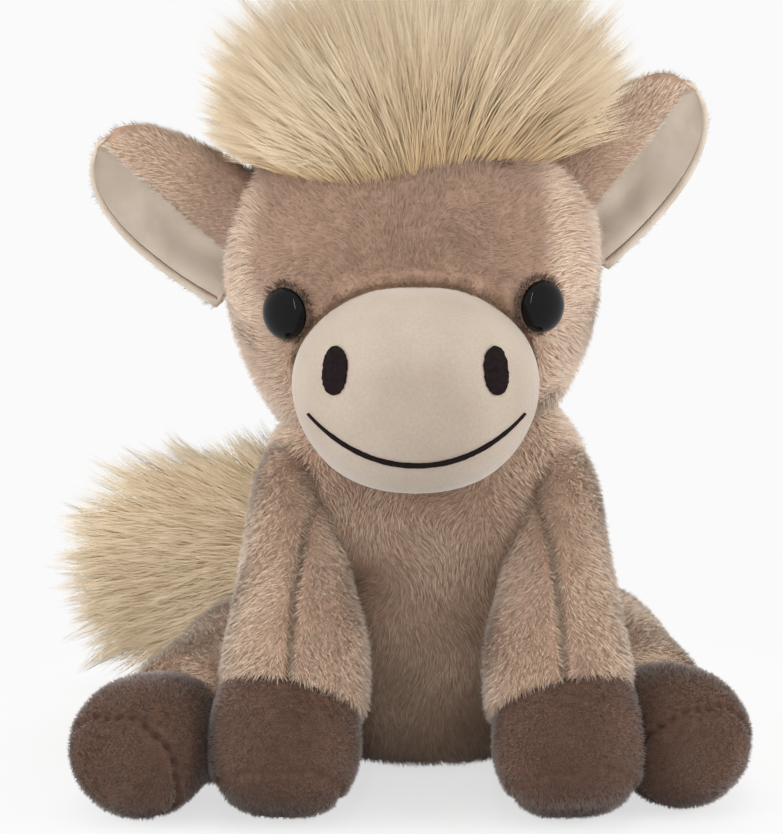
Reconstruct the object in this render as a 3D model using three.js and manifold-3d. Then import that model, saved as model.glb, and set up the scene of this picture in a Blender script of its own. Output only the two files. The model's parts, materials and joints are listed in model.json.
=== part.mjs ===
import * as THREE from "three";
import { mergeVertices } from "three/addons/utils/BufferGeometryUtils.js";
import Module from "manifold-3d";

// A sitting plush pony, in millimetres. It faces -Y, +Z is up, and +X is the pony's left.
// The origin is the middle of the flat spot under its seat, on the surface that it sits on.

const wasm = await Module();
wasm.setup();

// Making up
const pileWall = 3; // plush with its pile, as one wall
const hoofWall = 2; // the shorter brown plush
const creamWall = 2; // smooth plush, backed
const satinWall = 1.2;
const seamGap = 0.3; // between pieces that are sewn or laid together
const turnGap = 0.4; // between pieces that turn against each other
const floorPress = 0.5; // how much of a stuffed form the floor flattens
const cutReach = 400; // how far a cutting block reaches past what it cuts
const sweepStepDeg = 15; // between the copies that stand for a turn
const ballAround = 12; // faces round a ball and along it
const ballAlong = 8;
const hiddenAround = 10; // faces of a form where nothing shows
const hiddenAlong = 6;
const hiddenLegAround = 8;

// Body
const bodyHeight = 83;
const bodyHalfWidth = 38;
const bodyHalfDepth = 37;
const bodyLean = 18; // how far the shoulders come forward of the seat
const bodyFullnessShare = 0.82;
const bodyTaperShare = -0.2;
const neckRadius = 21;
const neckSink = 6; // the neck ball's centre below the top of the body
const neckHoleRadius = 9;
const pelletBagHalfDepth = 20;
const pelletBagHeight = 15;
const pelletBagFullnessShare = 0.7;

// Head
const headHalfWidth = 45;
const headHalfDepth = 40;
const headHalfHeight = 38.5;
const headRise = 36.5; // head centre above the neck's centre
const headShift = 3; // head centre towards the pony's right
const headFullnessShare = 0.72;
const headTaperShare = 0.04;
const headSquareShare = 2.3; // over 2 squares its rings
const headRollDeg = 1.6;
const nodDownDeg = 8;
const nodUpDeg = 10;

// Muzzle
const muzzleHalfWidth = 28;
const muzzleHalfHeight = 23;
const muzzleDepth = 30; // from its widest ring to its tip
const muzzleDrop = 16; // its centre below the head's
const muzzleSink = 2; // its widest ring behind the front of the face
const muzzleTaperShare = 0.1;

// Face
const eyeRadius = 6;
const eyeBulge = 4;
const eyeSink = 1.2; // the eye's rim below the surface of the plush
const eyeSpreadDeg = 39.5;
const eyeTurnDeg = 37;
const eyeRise = 0.8; // eye centres above the head's
const shankRadius = 1.8;
const shankLength = 12;
const washerRadius = 5.5;
const washerThickness = 1.2;
const nostrilHalfWidth = 3.1;
const nostrilHalfHeight = 6;
const nostrilSpread = 17.5;
const nostrilRise = 7.5; // above the muzzle's centre
const nostrilTiltDeg = 7;
const stitchRise = 0.7; // how far filled embroidery stands off the cloth
const smileHalfWidth = 23;
const smileLow = 13.7; // its lowest point below the muzzle's centre
const smileEnds = 3; // its ends below the muzzle's centre
const smileThreadRadius = 0.6;

// Ears
const earHalfLength = 24;
const earHalfWidth = 15;
const earHalfThickness = 7;
const earTurnIn = 12; // how much of its length lies behind the head's surface
const earTaperShare = -0.22;
const earRim = 3.2; // from the ear's edge to its hollow
const earHollowDepth = 6.5;
const earHollowShift = 5; // how far forward the middle of the hollow lies
const earRiseRight = 14.6; // its root above the head's centre
const earRiseLeft = 20.5;
const earBackDeg = 96; // where it is sewn on, round the head from its front
const earTiltRightDeg = 58; // from upright
const earTiltLeftDeg = 50;
const earCupDeg = 12; // the hollow turned down from straight ahead
const earFoldDeg = 12;
const earFullnessShare = 0.85;

// Mane
const maneHalfWidth = 51;
const maneHalfDepth = 25;
const maneHalfHeight = 29;
const maneShift = 3.5; // its middle towards the pony's left of the head's
const maneForward = 3;
const maneRise = 46; // its middle above the head's centre
const maneFootRise = 31; // its lowest roots above the head's centre
const maneFullnessShare = 0.5;
const maneTaperShare = 0.04;
const crestHalfWidth = 10;
const crestHalfDepth = 15;
const crestHalfHeight = 32;
const crestRise = 16; // its middle above the head's centre
const crestTopShare = 0.15;
const crestFullnessShare = 0.8;

// Front legs
const shoulderRadius = 13;
const shoulderSpread = 28;
const shoulderDepth = 10; // behind the front of the body at that height
const frontReach = 55; // shoulder to the middle of the hoof
const frontForwardDeg = 33;
const frontSplayDeg = 3.5;
const frontCuffRadius = 17.4;
const frontCuffDrop = 50; // shoulder to the end of the cuff
const frontWaistShare = 0.2; // how far the sleeve has widened at the joint
const frontHoofRadius = 18;
const frontHoofHalfLength = 20;
const frontHoofFullnessShare = 0.78;
const frontSoleHeight = 9; // seam of the sole above the hoof's end
const frontSwingDeg = 30;

// Hind legs
const hipRadius = 20.5;
const hipSpread = 40;
const hipForwardRight = 12; // ahead of the middle of the seat
const hipForwardLeft = 1;
const hindReach = 53; // hip to the middle of the hoof
const hindSplayRightDeg = 26;
const hindSplayLeftDeg = 19;
const hindCuffRadius = 15.8;
const hindCuffDrop = 39;
const hindWaistShare = 0.4;
const hindHoofRadius = 16.5;
const hindHoofHalfLength = 19;
const hindHoofFullnessShare = 0.68;
const hindSoleHeight = 5.5;
const hindSpreadDeg = 20;

// Tail
const tailHalfLength = 42;
const tailHalfWidth = 33;
const tailFullnessShare = 0.75;
const tailHalfThickness = 10;
const tailTurnIn = 5; // how much of its length is sewn in at the rump
const tailRootHeight = 42;
const tailRootDeg = 160; // round the body from its front
const tailTaperShare = 0.1;
const tailTurnDeg = 76; // from straight back towards the pony's right
const tailDropDeg = 9;
const tailSwayDeg = 12;

const sides = { right: -1, left: 1 };
const hipForward = { right: hipForwardRight, left: hipForwardLeft };
const hindSplayDeg = { right: hindSplayRightDeg, left: hindSplayLeftDeg };
const earRise = { right: earRiseRight, left: earRiseLeft };
const earTiltDeg = { right: earTiltRightDeg, left: earTiltLeftDeg };
const degree = Math.PI / 180;
const X = new THREE.Vector3(1, 0, 0);
const Y = new THREE.Vector3(0, 1, 0);
const Z = new THREE.Vector3(0, 0, 1);

function finish(color, roughness) {
  return new THREE.MeshStandardMaterial({ color, roughness, metalness: 0 });
}

const tanPlush = finish(0xb9a08c, 0.95);
const brownPlush = finish(0x695548, 0.95);
const creamPlush = finish(0xd2c8b9, 0.9);
const earSatin = finish(0xcfc8bd, 0.8);
const blondPile = finish(0xcdb88c, 0.85);
const darkThread = finish(0x241d1f, 0.7);
const blackPlastic = finish(0x08090b, 0.08);
const whitePlastic = finish(0xdedede, 0.5);
const fibre = finish(0xeeeeea, 1);
const pelletCloth = finish(0xe2e0d8, 0.9);

// Solids

// The solid of a closed geometry, placed by a matrix.
function solidOf(geometry, matrix = new THREE.Matrix4()) {
  const bare = geometry.clone();
  bare.deleteAttribute("normal");
  bare.deleteAttribute("uv");
  const merged = mergeVertices(bare).applyMatrix4(matrix);
  const corners = [];
  for (let i = 0; i < merged.index.count; i += 3) {
    const [a, b, c] = merged.index.array.slice(i, i + 3);
    if (a !== b && b !== c && c !== a) corners.push(a, b, c);
  }
  const vertProperties = merged.attributes.position.array;
  const triVerts = new Uint32Array(corners);
  return new wasm.Manifold(new wasm.Mesh({ numProp: 3, vertProperties, triVerts }));
}

// A copy of a solid, moved by a matrix.
function moved(solid, matrix) {
  const { vertProperties, triVerts } = solid.getMesh();
  new THREE.BufferAttribute(vertProperties, 3).applyMatrix4(matrix);
  return new wasm.Manifold(new wasm.Mesh({ numProp: 3, vertProperties, triVerts }));
}

function joined(first, ...others) {
  return others.reduce((all, other) => all.add(other), first);
}

function cut(solid, ...tools) {
  return tools.reduce((left, tool) => left.subtract(tool), solid);
}

// The main body of a solid, without the offcuts that a cut can leave beside it.
function mainBody(solid) {
  return solid.decompose().reduce((a, b) => (b.volume() > a.volume() ? b : a));
}

function shifted(x, y, z) {
  return new THREE.Matrix4().makeTranslation(x, y, z);
}

// A solid's copies turned about a joint, a few degrees apart, all as one.
function swept(solid, joint, low, high) {
  const back = shifted(-joint.pivot.x, -joint.pivot.y, -joint.pivot.z);
  const forth = back.clone().invert();
  const steps = Math.ceil((high - low) / sweepStepDeg);
  const copies = Array.from({ length: steps + 1 }, (_, i) => {
    const angle = THREE.MathUtils.lerp(low, high, i / steps) * degree;
    const turn = new THREE.Matrix4().makeRotationAxis(joint.axis, angle);
    return moved(solid, forth.clone().multiply(turn).multiply(back));
  });
  return joined(...copies);
}

// Blocks that hold all above, or all below, a height.
function above(height, frame) {
  const block = new THREE.BoxGeometry(cutReach, cutReach, cutReach);
  return solidOf(block.translate(0, 0, height + cutReach / 2), frame);
}

function below(height, frame) {
  const block = new THREE.BoxGeometry(cutReach, cutReach, cutReach);
  return solidOf(block.translate(0, 0, height - cutReach / 2), frame);
}

// An outline's points for turning, without doubles, and with its ends on the axis.
function turned(outline, divisions) {
  const points = outline.getPoints(divisions);
  points[points.length - 1].x = 0;
  return points.filter((point, i) => i === 0 || point.distanceTo(points[i - 1]) > 0);
}

// Stuffed forms

// The width of a form's ring, as a share, at a height share and a direction round its axis.
function ringShare(form, heightShare, sine, cosine) {
  const ring = Math.sqrt(1 - Math.min(1, heightShare ** 2)) ** (form.fullnessShare ?? 1);
  const square = form.squareShare ?? 2;
  const bulge = (Math.abs(sine) ** square + Math.abs(cosine) ** square) ** (-1 / square);
  return ring * (1 + (form.taperShare ?? 0) * heightShare) * bulge;
}

// The point of a form's surface at a height share, in a direction from -Y towards +X.
// A fullness share under 1 squares its ends, a taper share fattens its +Z end, a square share
// over 2 squares its rings, and a lean moves its +Z end forward and its other end back.
function onForm(form, heightShare, sine, cosine, grow) {
  const size = ringShare(form, heightShare, sine, cosine);
  return new THREE.Vector3(
    size * (form.halfWidth + grow) * sine,
    -size * (form.halfDepth + grow) * cosine - (form.lean ?? 0) * heightShare,
    heightShare * (form.halfHeight + grow),
  );
}

// The whole form, made by moving the points of a unit sphere.
function swollen(form, grow) {
  const sphere = new THREE.SphereGeometry(1, form.around, form.along).rotateX(Math.PI / 2);
  const places = sphere.attributes.position;
  for (let i = 0; i < places.count; i++) {
    const [x, y, z] = [places.getX(i), places.getY(i), places.getZ(i)];
    const ring = Math.hypot(x, y) || 1;
    const point = onForm(form, z, x / ring, -y / ring, grow);
    places.setXYZ(i, point.x, point.y, point.z);
  }
  return sphere;
}

// The same form with the few faces that are enough inside.
function plain(form) {
  return { ...form, around: hiddenAround, along: hiddenAlong };
}

// A leg's sleeve about its joint, reaching down -Z: from its round end it widens to its cuff.
function sleeve(leg, grow) {
  const waist = THREE.MathUtils.lerp(leg.ballRadius, leg.cuffRadius, leg.waistShare) + grow;
  const end = -leg.cuffDrop - grow;
  const outline = new THREE.Path();
  outline.moveTo(0, end);
  outline.lineTo(leg.cuffRadius + grow, end);
  outline.quadraticCurveTo(leg.cuffRadius + grow, end / 2, waist, 0);
  outline.lineTo(0, 0);
  return new THREE.LatheGeometry(turned(outline, 2), leg.around).rotateX(Math.PI / 2);
}

function ballShape(radius) {
  return new THREE.SphereGeometry(radius, ballAround, ballAlong);
}

// A ball whose corners lie at the radius.
function ball(place, radius) {
  return solidOf(ballShape(radius), shifted(place.x, place.y, place.z));
}

// The hollow for such a ball: its flats lie at the radius, and face the ball's corners.
function socket(place, radius) {
  const corner = Math.cos(Math.PI / ballAround) * Math.cos(Math.PI / 2 / ballAlong);
  const hollow = ballShape(radius / corner).rotateY(Math.PI / ballAround);
  return solidOf(hollow, shifted(place.x, place.y, place.z));
}

// Pieces

// A group that turns about its own place. The axis and range say how.
function jointGroup(parent, name, joint) {
  const group = new THREE.Group();
  group.position.copy(joint.pivot);
  parent.worldToLocal(group.position);
  group.quaternion.copy(parent.getWorldQuaternion(new THREE.Quaternion()).invert());
  group.userData = { joint: name, axis: joint.axis, range: joint.range };
  parent.add(group);
  group.updateWorldMatrix(true, false);
  return group;
}

// Adds a solid, which is given in the frame of the whole toy, to a group as a named piece.
function addPiece(group, name, material, solid) {
  const { vertProperties, triVerts } = solid.getMesh();
  const geometry = new THREE.BufferGeometry();
  geometry.setAttribute("position", new THREE.BufferAttribute(vertProperties, 3));
  geometry.setIndex(new THREE.BufferAttribute(triVerts, 1));
  geometry.applyMatrix4(group.matrixWorld.clone().invert());
  geometry.computeVertexNormals();
  const mesh = new THREE.Mesh(geometry, material);
  mesh.name = name;
  group.add(mesh);
}

const toy = new THREE.Group();

// Where the body, head and muzzle lie

const bodyForm = {
  halfWidth: bodyHalfWidth,
  halfDepth: bodyHalfDepth,
  halfHeight: (bodyHeight + floorPress) / 2,
  fullnessShare: bodyFullnessShare,
  taperShare: bodyTaperShare,
  lean: bodyLean / 2,
  around: 16,
  along: 10,
};
const bodyCentre = new THREE.Vector3(0, -bodyLean / 2, (bodyHeight - floorPress) / 2);
const bodyFrame = shifted(bodyCentre.x, bodyCentre.y, bodyCentre.z);

const neck = {
  pivot: new THREE.Vector3(0, -bodyLean, bodyHeight - neckSink),
  axis: X,
  range: [-nodUpDeg, nodDownDeg],
};

const headForm = {
  halfWidth: headHalfWidth,
  halfDepth: headHalfDepth,
  halfHeight: headHalfHeight,
  fullnessShare: headFullnessShare,
  taperShare: headTaperShare,
  squareShare: headSquareShare,
  around: 18,
  along: 10,
};
const headFrame = shifted(neck.pivot.x - headShift, neck.pivot.y, neck.pivot.z + headRise);
headFrame.multiply(new THREE.Matrix4().makeRotationY(-headRollDeg * degree));
const headFrameAt = (x, y, z) => headFrame.clone().multiply(shifted(x, y, z));

const muzzleForm = {
  halfWidth: muzzleHalfWidth,
  halfDepth: muzzleDepth,
  halfHeight: muzzleHalfHeight,
  taperShare: muzzleTaperShare,
  around: 16,
  along: 10,
};
const muzzleFrame = headFrameAt(0, muzzleSink - headHalfDepth, -muzzleDrop);

const headSolid = (grow, form) => solidOf(swollen(form, grow), headFrame);
const muzzleSolid = (grow, form) => solidOf(swollen(form, grow), muzzleFrame);

// Where the legs lie

function hoofForm(radius, halfLength, fullnessShare) {
  return {
    halfWidth: radius,
    halfDepth: radius,
    halfHeight: halfLength,
    fullnessShare,
    around: 12,
    along: 6,
  };
}

// A frame whose -Z runs from a joint along its limb.
function limbFrame(pivot, direction) {
  const turn = new THREE.Quaternion().setFromUnitVectors(Z.clone().negate(), direction);
  return new THREE.Matrix4().compose(pivot, turn, new THREE.Vector3(1, 1, 1));
}

function hoofSolid(leg, grow) {
  const frame = limbFrame(leg.pivot, leg.direction).multiply(shifted(0, 0, -leg.reach));
  return solidOf(swollen(leg.hoof, grow), frame);
}

// A front leg stands as high as its own length asks for, a little behind the body's front.
function frontLeg(side) {
  const direction = new THREE.Vector3(
    side * Math.tan(frontSplayDeg * degree),
    -Math.tan(frontForwardDeg * degree),
    -1,
  ).normalize();
  const leg = {
    pivot: new THREE.Vector3(),
    direction,
    axis: X.clone().negate(),
    range: [0, frontSwingDeg],
    ballRadius: shoulderRadius,
    cuffRadius: frontCuffRadius,
    cuffDrop: frontCuffDrop,
    waistShare: frontWaistShare,
    around: 12,
    reach: frontReach,
    hoof: hoofForm(frontHoofRadius, frontHoofHalfLength, frontHoofFullnessShare),
    soleHeight: frontSoleHeight,
  };
  const height = -hoofSolid(leg, 0).boundingBox().min[2] - floorPress;
  const heightShare = (height - bodyCentre.z) / bodyForm.halfHeight;
  const front = onForm(bodyForm, heightShare, 0, 1, 0).add(bodyCentre);
  leg.pivot.set(side * shoulderSpread, front.y + shoulderDepth, height);
  return leg;
}

function hindLeg(name) {
  const side = sides[name];
  const hipHeight = hipRadius - floorPress;
  const direction = new THREE.Vector3(
    side * Math.sin(hindSplayDeg[name] * degree),
    -Math.cos(hindSplayDeg[name] * degree),
    (hindHoofRadius - hipRadius) / hindReach,
  ).normalize();
  return {
    pivot: new THREE.Vector3(side * hipSpread, -hipForward[name], hipHeight),
    direction,
    axis: Z.clone().multiplyScalar(side),
    range: [0, hindSpreadDeg],
    ballRadius: hipRadius,
    cuffRadius: hindCuffRadius,
    cuffDrop: hindCuffDrop,
    waistShare: hindWaistShare,
    around: 14,
    reach: hindReach,
    hoof: hoofForm(hindHoofRadius, hindHoofHalfLength, hindHoofFullnessShare),
    soleHeight: hindSoleHeight,
  };
}

const frontLegs = { right: frontLeg(sides.right), left: frontLeg(sides.left) };
const hindLegs = { right: hindLeg("right"), left: hindLeg("left") };
const allLegs = [...Object.values(frontLegs), ...Object.values(hindLegs)];

// The sleeve with its round end in the joint.
function sleeveSolid(leg, grow) {
  const frame = limbFrame(leg.pivot, leg.direction);
  return ball(leg.pivot, leg.ballRadius + grow).add(solidOf(sleeve(leg, grow), frame));
}

// Body: its plush cover, the pellet bag in the seat, and the filling

// The body with its neck.
function trunkSolid(grow, form) {
  return solidOf(swollen(form, grow), bodyFrame).add(ball(neck.pivot, neckRadius + grow));
}

// The hollows where the legs turn.
function legSockets(gap) {
  return allLegs.map((leg) => socket(leg.pivot, leg.ballRadius + gap));
}

function makeBody() {
  const inside = trunkSolid(-pileWall, plain(bodyForm)).intersect(above(pileWall));
  const holeShape = new THREE.CylinderGeometry(neckHoleRadius, neckHoleRadius, cutReach, 16);
  const holeFrame = shifted(neck.pivot.x, neck.pivot.y, neck.pivot.z + cutReach / 2);
  const neckHole = solidOf(holeShape.rotateX(Math.PI / 2), holeFrame);
  const skin = cut(trunkSolid(0, bodyForm), inside, neckHole, ...legSockets(turnGap)).intersect(above(0));
  addPiece(toy, "body_cover", tanPlush, mainBody(skin));

  const gap = pileWall + seamGap;
  const bagForm = {
    halfWidth: hipSpread - hipRadius - turnGap - gap - seamGap,
    halfDepth: pelletBagHalfDepth,
    halfHeight: pelletBagHeight / 2,
    fullnessShare: pelletBagFullnessShare,
    around: 12,
    along: 6,
  };
  const bagFrame = shifted(0, 0, gap + bagForm.halfHeight);
  const room = trunkSolid(-gap, plain(bodyForm)).intersect(above(gap));
  const bag = solidOf(swollen(bagForm, 0), bagFrame).intersect(room);
  addPiece(toy, "seat_pellet_bag", pelletCloth, bag);
  const bagRoom = solidOf(swollen(bagForm, seamGap), bagFrame);
  const filling = cut(room, bagRoom, ...legSockets(turnGap + seamGap));
  addPiece(toy, "body_filling", fibre, mainBody(filling));
}

// Legs: a plush sleeve, a hoof with its sole, and the filling that runs through them

// A plain round room that holds a leg in all its length.
function legRoom(leg, gap) {
  const radius = (Math.max(leg.cuffRadius, leg.hoof.halfWidth) + gap) / Math.cos(Math.PI / leg.around);
  const top = leg.ballRadius + gap;
  const bottom = -leg.reach - leg.hoof.halfHeight - gap;
  const room = new THREE.CylinderGeometry(radius, radius, top - bottom, leg.around);
  room.rotateX(Math.PI / 2).translate(0, 0, (top + bottom) / 2);
  return solidOf(room, limbFrame(leg.pivot, leg.direction));
}

// What a leg stays clear of through its swing: the body, but for its own socket, and its neighbours.
function roomBeside(leg, neighbours) {
  const body = solidOf(swollen(bodyForm, seamGap), bodyFrame);
  const others = neighbours.map((other) => legRoom(other, turnGap));
  const taken = swept(joined(body, ...others), leg, -leg.range[1], -leg.range[0]);
  return cut(taken, ball(leg.pivot, leg.ballRadius + turnGap / 2));
}

function makeLeg(name, jointName, leg, neighbours) {
  const group = jointGroup(toy, jointName, leg);
  const frame = limbFrame(leg.pivot, leg.direction);
  const taken = roomBeside(leg, neighbours);
  const inner = { ...leg, around: hiddenLegAround, hoof: plain(leg.hoof) };

  const inside = sleeveSolid(inner, -pileWall).intersect(above(pileWall));
  const sleeveShell = cut(sleeveSolid(leg, 0), inside, hoofSolid(leg, seamGap), taken);
  addPiece(group, name + "_cover", tanPlush, mainBody(sleeveShell.intersect(above(0))));

  const hoofInside = hoofSolid(inner, -hoofWall).intersect(above(hoofWall));
  const hoofShell = cut(hoofSolid(leg, 0), hoofInside, taken).intersect(above(0));
  const hoofTop = pileWall / 2 - leg.cuffDrop;
  const soleSeam = leg.soleHeight - leg.reach - leg.hoof.halfHeight;
  const band = below(hoofTop, frame).intersect(above(soleSeam + seamGap, frame));
  addPiece(group, name + "_hoof", brownPlush, mainBody(hoofShell.intersect(band)));
  addPiece(group, name + "_sole", brownPlush, mainBody(hoofShell.intersect(below(soleSeam, frame))));

  const upper = sleeveSolid(inner, -pileWall - seamGap).intersect(above(pileWall + seamGap));
  const lower = hoofSolid(inner, -hoofWall - seamGap).intersect(above(hoofWall + seamGap));
  addPiece(group, name + "_filling", fibre, mainBody(cut(upper.add(lower), taken)));
}

// Head: its plush cover, the muzzle cover, and the filling of both

// What the head stays clear of as it nods.
function roomBelowHead() {
  const shoulders = Object.values(frontLegs).map((leg) => socket(leg.pivot, leg.ballRadius + turnGap));
  const body = joined(solidOf(swollen(bodyForm, turnGap), bodyFrame), ...shoulders);
  const taken = swept(body, neck, -neck.range[1], -neck.range[0]);
  return taken.add(socket(neck.pivot, neckRadius + turnGap));
}

// An eye about the middle of its rim, looking up +Z: a dome on a shank.
function eyeShape(grow) {
  const outline = new THREE.Path();
  outline.moveTo(0, -shankLength - grow);
  outline.lineTo(shankRadius + grow, -shankLength - grow);
  outline.lineTo(shankRadius + grow, -grow);
  outline.lineTo(eyeRadius + grow, -grow);
  outline.absellipse(0, 0, eyeRadius + grow, eyeBulge + grow, 0, Math.PI / 2, false);
  return new THREE.LatheGeometry(turned(outline, 4), 12).rotateX(Math.PI / 2);
}

function eyeFrame(side) {
  const spread = eyeSpreadDeg * degree;
  const rim = onForm(headForm, eyeRise / headHalfHeight, side * Math.sin(spread), Math.cos(spread), -eyeSink);
  const look = new THREE.Vector3(side * Math.sin(eyeTurnDeg * degree), -Math.cos(eyeTurnDeg * degree), 0);
  const turn = new THREE.Quaternion().setFromUnitVectors(Z, look);
  return headFrame.clone().multiply(new THREE.Matrix4().compose(rim, turn, new THREE.Vector3(1, 1, 1)));
}

// The washer clips on the shank, just clear of the inside of the curved cover.
const washerDepth = pileWall + seamGap - eyeSink + washerRadius ** 2 / (2 * headHalfDepth);

function washerShape() {
  const bore = shankRadius + seamGap;
  const outline = new THREE.Path();
  outline.moveTo(bore, -washerDepth - washerThickness);
  outline.lineTo(washerRadius, -washerDepth - washerThickness);
  outline.lineTo(washerRadius, -washerDepth);
  outline.lineTo(bore, -washerDepth);
  outline.closePath();
  return new THREE.LatheGeometry(outline.getPoints(), 12).rotateX(Math.PI / 2);
}

// The room that the washer, and the shank behind it, take up.
function eyeRoomShape() {
  const shank = shankRadius + seamGap;
  const washer = washerRadius + seamGap;
  const under = -washerDepth - washerThickness - seamGap;
  const outline = new THREE.Path();
  outline.moveTo(0, -shankLength - seamGap);
  outline.lineTo(shank, -shankLength - seamGap);
  outline.lineTo(shank, under);
  outline.lineTo(washer, under);
  outline.lineTo(washer, seamGap - washerDepth);
  outline.lineTo(0, seamGap - washerDepth);
  return new THREE.LatheGeometry(turned(outline, 1), 12).rotateX(Math.PI / 2);
}

function makeHead(group) {
  const eyeFrames = Object.values(sides).map(eyeFrame);
  const taken = roomBelowHead();
  const mouthHole = muzzleSolid(seamGap, muzzleForm);
  const eyeHoles = eyeFrames.map((frame) =>
    solidOf(eyeShape(seamGap), frame).add(solidOf(eyeRoomShape(), frame)),
  );
  const inside = headSolid(-pileWall, plain(headForm));
  const skin = cut(headSolid(0, headForm), inside, mouthHole, ...eyeHoles, taken);
  addPiece(group, "head_cover", tanPlush, mainBody(skin));

  const hollow = muzzleSolid(-creamWall, plain(muzzleForm));
  const snout = cut(muzzleSolid(0, muzzleForm), inside, hollow, taken, ...eyeHoles);
  addPiece(group, "muzzle_cover", creamPlush, mainBody(snout));

  const face = headSolid(-pileWall - seamGap, plain(headForm));
  const filled = face.add(muzzleSolid(-creamWall - seamGap, plain(muzzleForm)));
  addPiece(group, "head_filling", fibre, mainBody(cut(filled, taken, ...eyeHoles)));

  Object.keys(sides).forEach((name, i) => {
    addPiece(group, "eye_" + name, blackPlastic, solidOf(eyeShape(0), eyeFrames[i]));
    addPiece(group, "eye_washer_" + name, whitePlastic, solidOf(washerShape(), eyeFrames[i]));
  });
}

// Embroidery on the muzzle: two nostrils and a smile

function makeNostril(group, name) {
  const side = sides[name];
  const outline = new THREE.CylinderGeometry(nostrilHalfWidth, nostrilHalfWidth, cutReach, 18);
  outline.translate(0, -cutReach / 2, 0).scale(1, 1, nostrilHalfHeight / nostrilHalfWidth);
  outline.rotateY(-side * nostrilTiltDeg * degree);
  const patch = solidOf(outline, muzzleFrame.clone().multiply(shifted(side * nostrilSpread, 0, nostrilRise)));
  const raised = muzzleSolid(seamGap + stitchRise, muzzleForm).intersect(patch);
  const stitches = cut(raised, muzzleSolid(seamGap, muzzleForm));
  addPiece(group, "nostril_" + name, darkThread, mainBody(stitches));
}

function makeSmile(group) {
  const lift = seamGap + smileThreadRadius;
  const points = [-1, -0.75, -0.5, -0.25, 0, 0.25, 0.5, 0.75, 1].map((share) => {
    const heightShare = (-smileLow + (smileLow - smileEnds) * share ** 2) / muzzleHalfHeight;
    const sine = (share * smileHalfWidth) / (muzzleHalfWidth * ringShare(muzzleForm, heightShare, 0, 1));
    return onForm(muzzleForm, heightShare, sine, Math.sqrt(1 - sine ** 2), lift);
  });
  const section = new THREE.Shape().absarc(0, 0, smileThreadRadius, 0, 2 * Math.PI, false);
  const thread = new THREE.ExtrudeGeometry(section, {
    extrudePath: new THREE.CatmullRomCurve3(points),
    steps: 20,
    curveSegments: 3,
    bevelEnabled: false,
  });
  addPiece(group, "smile_stitching", darkThread, solidOf(thread, muzzleFrame));
}

// Ears: a plush back, cupped, and a satin lining in the cup

const earForm = {
  halfWidth: earHalfWidth,
  halfDepth: earHalfThickness,
  halfHeight: earHalfLength,
  fullnessShare: earFullnessShare,
  taperShare: earTaperShare,
  around: 12,
  along: 8,
};
const earHollow = {
  ...earForm,
  halfWidth: earHalfWidth - earRim,
  halfDepth: earHollowDepth,
  halfHeight: earHalfLength - earRim,
};

function earJoint(name) {
  const side = sides[name];
  const round = earBackDeg * degree;
  const heightShare = earRise[name] / headHalfHeight;
  const root = onForm(headForm, heightShare, side * Math.sin(round), Math.cos(round), 0);
  const turn = new THREE.Euler(0, side * earTiltDeg[name] * degree, -side * earCupDeg * degree, "YXZ");
  const frame = headFrameAt(root.x, root.y, root.z);
  frame.multiply(new THREE.Matrix4().makeRotationFromEuler(turn));
  const across = new THREE.Vector3().setFromMatrixColumn(frame, 0).multiplyScalar(-side);
  const pivot = new THREE.Vector3().setFromMatrixPosition(frame);
  frame.multiply(shifted(0, 0, earHalfLength - earTurnIn));
  return { pivot, axis: across.normalize(), range: [-earFoldDeg, earFoldDeg], frame };
}

const earJoints = { right: earJoint("right"), left: earJoint("left") };
const earSolid = (ear, grow) => solidOf(swollen(earForm, grow), ear.frame);

function hollowSolid(ear, grow) {
  return solidOf(swollen(earHollow, grow), ear.frame.clone().multiply(shifted(0, -earHollowShift, 0)));
}

// A wedge that holds an ear in all its turns.
function earRoom(ear) {
  const side = earHalfThickness + turnGap;
  const tip = 2 * earHalfLength - earTurnIn + earHalfThickness;
  const open = side + tip * Math.tan(earFoldDeg * degree);
  const outline = new THREE.Shape([
    new THREE.Vector2(-side, -earTurnIn),
    new THREE.Vector2(side, -earTurnIn),
    new THREE.Vector2(open, tip),
    new THREE.Vector2(-open, tip),
  ]);
  const width = 2 * (earHalfWidth + turnGap);
  const wedge = new THREE.ExtrudeGeometry(outline, { depth: width, bevelEnabled: false });
  const across = new THREE.Matrix4().makeBasis(Y, Z, X).setPosition(-width / 2, 0, 0);
  const root = ear.frame.clone().multiply(shifted(0, 0, earTurnIn - earHalfLength));
  return solidOf(wedge, root.multiply(across));
}

function makeEar(headGroup, name) {
  const ear = earJoints[name];
  const group = jointGroup(headGroup, "ear_" + name + "_fold", ear);
  const taken = swept(headSolid(seamGap, headForm), ear, -earFoldDeg, earFoldDeg);
  addPiece(group, "ear_back_" + name, tanPlush, mainBody(cut(earSolid(ear, 0), hollowSolid(ear, 0), taken)));
  const lining = cut(hollowSolid(ear, -seamGap), hollowSolid(ear, -seamGap - satinWall));
  const behind = lining.intersect(earSolid(ear, -satinWall));
  addPiece(group, "ear_lining_" + name, earSatin, mainBody(cut(behind, taken)));
}

// Mane: a tuft across the crown, and a crest down the back of the head

const maneForm = {
  halfWidth: maneHalfWidth,
  halfDepth: maneHalfDepth,
  halfHeight: maneHalfHeight,
  fullnessShare: maneFullnessShare,
  taperShare: maneTaperShare,
  around: 18,
  along: 8,
};

function maneSolid(grow) {
  const tuft = solidOf(swollen(maneForm, grow), headFrameAt(maneShift, -maneForward, maneRise));
  return tuft.intersect(above(maneFootRise - grow, headFrame));
}

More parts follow.
